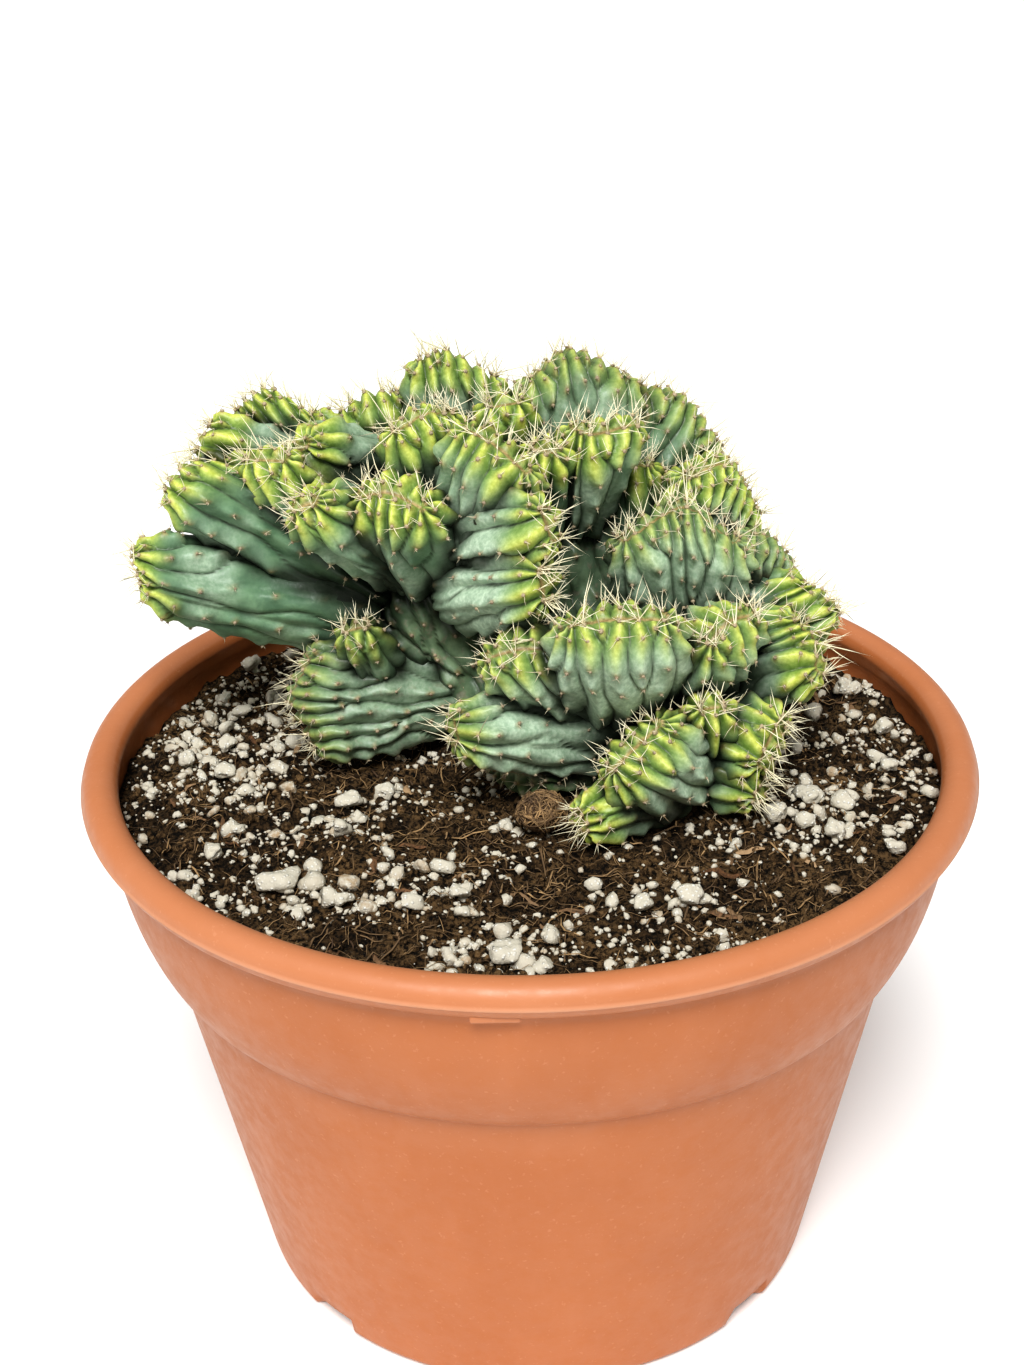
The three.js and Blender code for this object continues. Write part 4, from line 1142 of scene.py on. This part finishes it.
def make_perlite(samples):
    rng = np.random.default_rng(SEED + 900)
    finish = perlite_finish()
    for name, tries, detail, (low, high) in PERLITE_LAYERS:
        points = scatter_on_soil(rng, tries, samples, lambda x, y: perlite_cover(x, y) ** 1.3)
        sizes = low + (high - low) * rng.random(len(points)) ** 2.2
        shapes, faces = grain_shapes(rng, len(points), detail, sizes)
        points[:, 2] += sizes * rng.uniform(0.0, 0.35, len(points)) - 1.0
        vertices = (shapes * [1, 1, 0.85] + points[:, None]).reshape(-1, 3)
        per_grain = shapes.shape[1]
        all_faces = (faces[None] + (np.arange(len(points)) * per_grain)[:, None, None]).reshape(-1, 3)
        low_side = smooth(0.4, -0.9, shapes[..., 2] / (sizes[:, None] / 2))
        stain = np.clip(0.6 * low_side + (rng.random(len(points)) ** 4)[:, None] * 0.9, 0, 1)
        make_piece(name, vertices, all_faces, finish, attributes={"stain": stain.ravel()})
    return finish


def make_big_grains(finish):
    """The large perlite grains that are CAD nodes, each a knobbly lump in its node's box."""
    rng = np.random.default_rng(SEED + 950)
    nodes = sorted(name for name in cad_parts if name.startswith("perlite_grain_"))
    boxes = [tuple(np.array(corner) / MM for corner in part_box(name)) for name in nodes]
    centres = np.array([(lo + hi) / 2 for lo, hi in boxes])
    extents = np.array([hi - lo for lo, hi in boxes])
    shapes, faces = grain_shapes(rng, len(nodes), 3, np.full(len(nodes), 1.0))
    reach = np.abs(shapes).max(1, keepdims=True)
    shapes = shapes / reach * extents[:, None] / 2
    centres[:, 2] -= 1.4
    vertices = (shapes + centres[:, None]).reshape(-1, 3)
    all_faces = (faces[None] + (np.arange(len(nodes)) * shapes.shape[1])[:, None, None]).reshape(-1, 3)
    stain = 0.5 * smooth(0.2, -1, (shapes / extents[:, None] * 2)[..., 2]).ravel()
    make_piece("perlite_large", vertices, all_faces, finish, replaced=nodes,
               attributes={"stain": stain})


def make_crumbs(samples):
    """Crumbs of peat, from dust to small clods."""
    rng = np.random.default_rng(SEED + 1100)
    points = scatter_on_soil(rng, 5200, samples, lambda x, y: np.full_like(x, 0.9))
    sizes = 0.8 + 3.2 * rng.random(len(points)) ** 3
    template, faces = ball(1)
    turns = random_turns(rng, len(points))
    axes = turns * (sizes[:, None] / 2 * rng.uniform(0.5, 1.2, (len(points), 3)))[:, None]
    vertices, all_faces = copies(template, faces, axes, points - [0, 0, 0.7])
    vertices = vertices + 0.3 * np.stack([value_noise(vertices, 0.9, s) for s in (31, 32, 33)], -1)
    tone = np.repeat(rng.random(len(points)) ** 2, len(template))
    make_piece("peat_crumbs", vertices, all_faces, bpy.data.materials["peat_mix_look"],
               attributes={"tone": tone})


def ribbons(paths, widths, heights):
    """Flat curved strips along paths of points (strips, points, 3): four-sided, pointed at both ends."""
    count, steps = paths.shape[:2]
    along = unit(np.gradient(paths, axis=1))
    across = unit(np.cross(along, [0, 0, 1.0]))
    above = np.cross(across, along)
    taper = np.sin(np.linspace(0.25, math.pi - 0.25, steps)) ** 0.6
    w = (widths[:, None] * taper)[..., None] / 2
    h = (heights[:, None] * taper)[..., None] / 2
    rings = np.stack([paths + across * w, paths + above * h, paths - across * w, paths - above * h], 2)
    vertices = rings.reshape(count, steps * 4, 3)
    faces = []
    for step in range(steps - 1):
        for k in range(4):
            n = (k + 1) % 4
            faces.append([step * 4 + k, step * 4 + n, step * 4 + 4 + n, step * 4 + 4 + k])
    last = (steps - 1) * 4
    faces += [[3, 2, 1, 0], [last, last + 1, last + 2, last + 3]]
    all_faces = np.array(faces)[None] + (np.arange(count) * steps * 4)[:, None, None]
    return vertices.reshape(-1, 3), all_faces.reshape(-1, 4)


def wandering_paths(rng, starts, lengths, steps, lift):
    """Slightly curved paths that lie on the mix."""
    heading = rng.uniform(0, 2 * math.pi, len(starts))
    curl = rng.normal(0, 0.12, len(starts))
    points = [starts]
    for _ in range(steps - 1):
        heading = heading + curl + rng.normal(0, 0.14, len(starts))
        stride = (lengths / (steps - 1))[:, None]
        ahead = np.stack([np.cos(heading), np.sin(heading), np.zeros(len(starts))], -1)
        points.append(points[-1] + ahead * stride)
    paths = np.stack(points, 1)
    rise = lift[:, None] * rng.uniform(0.4, 1.6, paths.shape[:2])
    paths[..., 2] = soil_height(paths[..., 0], paths[..., 1]) + rise
    return paths


def make_fibres(samples):
    rng = np.random.default_rng(SEED + 1300)
    starts = scatter_on_soil(rng, 4200, samples, lambda x, y: np.clip(1.15 - perlite_cover(x, y), 0.3, 1))
    starts = starts[np.hypot(starts[:, 0], starts[:, 1]) < SOIL_RADIUS - 10]
    lengths = 3 + 9 * rng.random(len(starts)) ** 2
    paths = wandering_paths(rng, starts, lengths, 5, rng.uniform(0.3, 1.6, len(starts)))
    widths = 0.2 + 0.6 * rng.random(len(starts)) ** 4
    vertices, faces = ribbons(paths, widths, widths * 0.5)
    tone = np.repeat(rng.random(len(starts)), 20)
    make_piece("peat_fibres", vertices, faces, coir_finish(), attributes={"tone": tone})


def make_bark(samples):
    """Chips and splinters of bark, with the CAD chips among them."""
    rng = np.random.default_rng(SEED + 1500)
    nodes = sorted(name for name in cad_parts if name.startswith("bark_chip_"))
    middles = np.array([np.add(*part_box(name)) / 2 / MM for name in nodes])
    spans = np.array([np.subtract(*reversed(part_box(name))) / MM for name in nodes])
    starts = scatter_on_soil(rng, 120, samples, lambda x, y: np.full_like(x, 0.8))
    starts = starts[np.hypot(starts[:, 0], starts[:, 1]) < SOIL_RADIUS - 9]
    lengths = np.concatenate([np.hypot(spans[:, 0], spans[:, 1]) * 0.8, 3 + 5 * rng.random(len(starts))])
    starts = np.vstack([middles - spans * [0.35, 0.2, 0], starts])
    paths = wandering_paths(rng, starts, lengths, 6, np.full(len(starts), 0.7))
    widths = lengths * rng.uniform(0.16, 0.34, len(lengths))
    vertices, faces = ribbons(paths, widths, np.full(len(lengths), 1.1))
    vertices = vertices + 0.25 * np.stack([value_noise(vertices, 1.1, s) for s in (1, 2, 3)], -1)
    tone = np.repeat(rng.random(len(lengths)) ** 2, 24)
    make_piece("bark_chips", vertices, faces, bark_finish(), replaced=nodes,
               attributes={"tone": tone}, flat=True)


def make_tuft():
    """A matted lump of brown fibre."""
    rng = np.random.default_rng(SEED + 1700)
    low, high = (np.array(corner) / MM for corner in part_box("fibre_tuft"))
    centre, half = (low + high) / 2 + [0, 0, 1.5], (high - low) / 2 * [0.9, 0.9, 1.8]
    template, faces = ball(3)
    core = template * half * 0.8 * (1 + 0.22 * layered_noise(template, 0.7, 81, 3))[:, None] + centre
    count, steps = 650, 6
    spot = unit(rng.normal(size=(count, 3)))
    spot[:, 2] = np.abs(spot[:, 2])
    drift = unit(np.cross(spot, rng.normal(size=(count, 3))))
    reach = rng.uniform(0.25, 0.75, count)
    t = np.linspace(-1, 1, steps)
    paths = unit(spot[:, None] + drift[:, None] * (t[None] * reach[:, None])[..., None])
    paths = paths + 0.10 * np.stack([value_noise(paths * 6 + 9, 1.0, s) for s in (4, 5, 6)], -1)
    paths = paths * half * rng.uniform(0.85, 1.1, (count, 1, 1)) + centre
    strands, strand_faces = ribbons(paths, rng.uniform(0.3, 0.6, count), np.full(count, 0.35))
    vertices = np.vstack([core, strands])
    tone = np.concatenate([np.full(len(core), 0.1), np.repeat(rng.random(count), steps * 4)])
    make_piece("coir_tuft", vertices, [faces, strand_faces + len(core)],
               bpy.data.materials["coir_fibre_look"],
               replaced=["fibre_tuft"], attributes={"tone": tone})


make_camera()
make_studio()
make_pot()
make_soil()
stem_samples = make_cactus()
perlite = make_perlite(stem_samples)
make_big_grains(perlite)
make_crumbs(stem_samples)
make_fibres(stem_samples)
make_bark(stem_samples)
make_tuft()
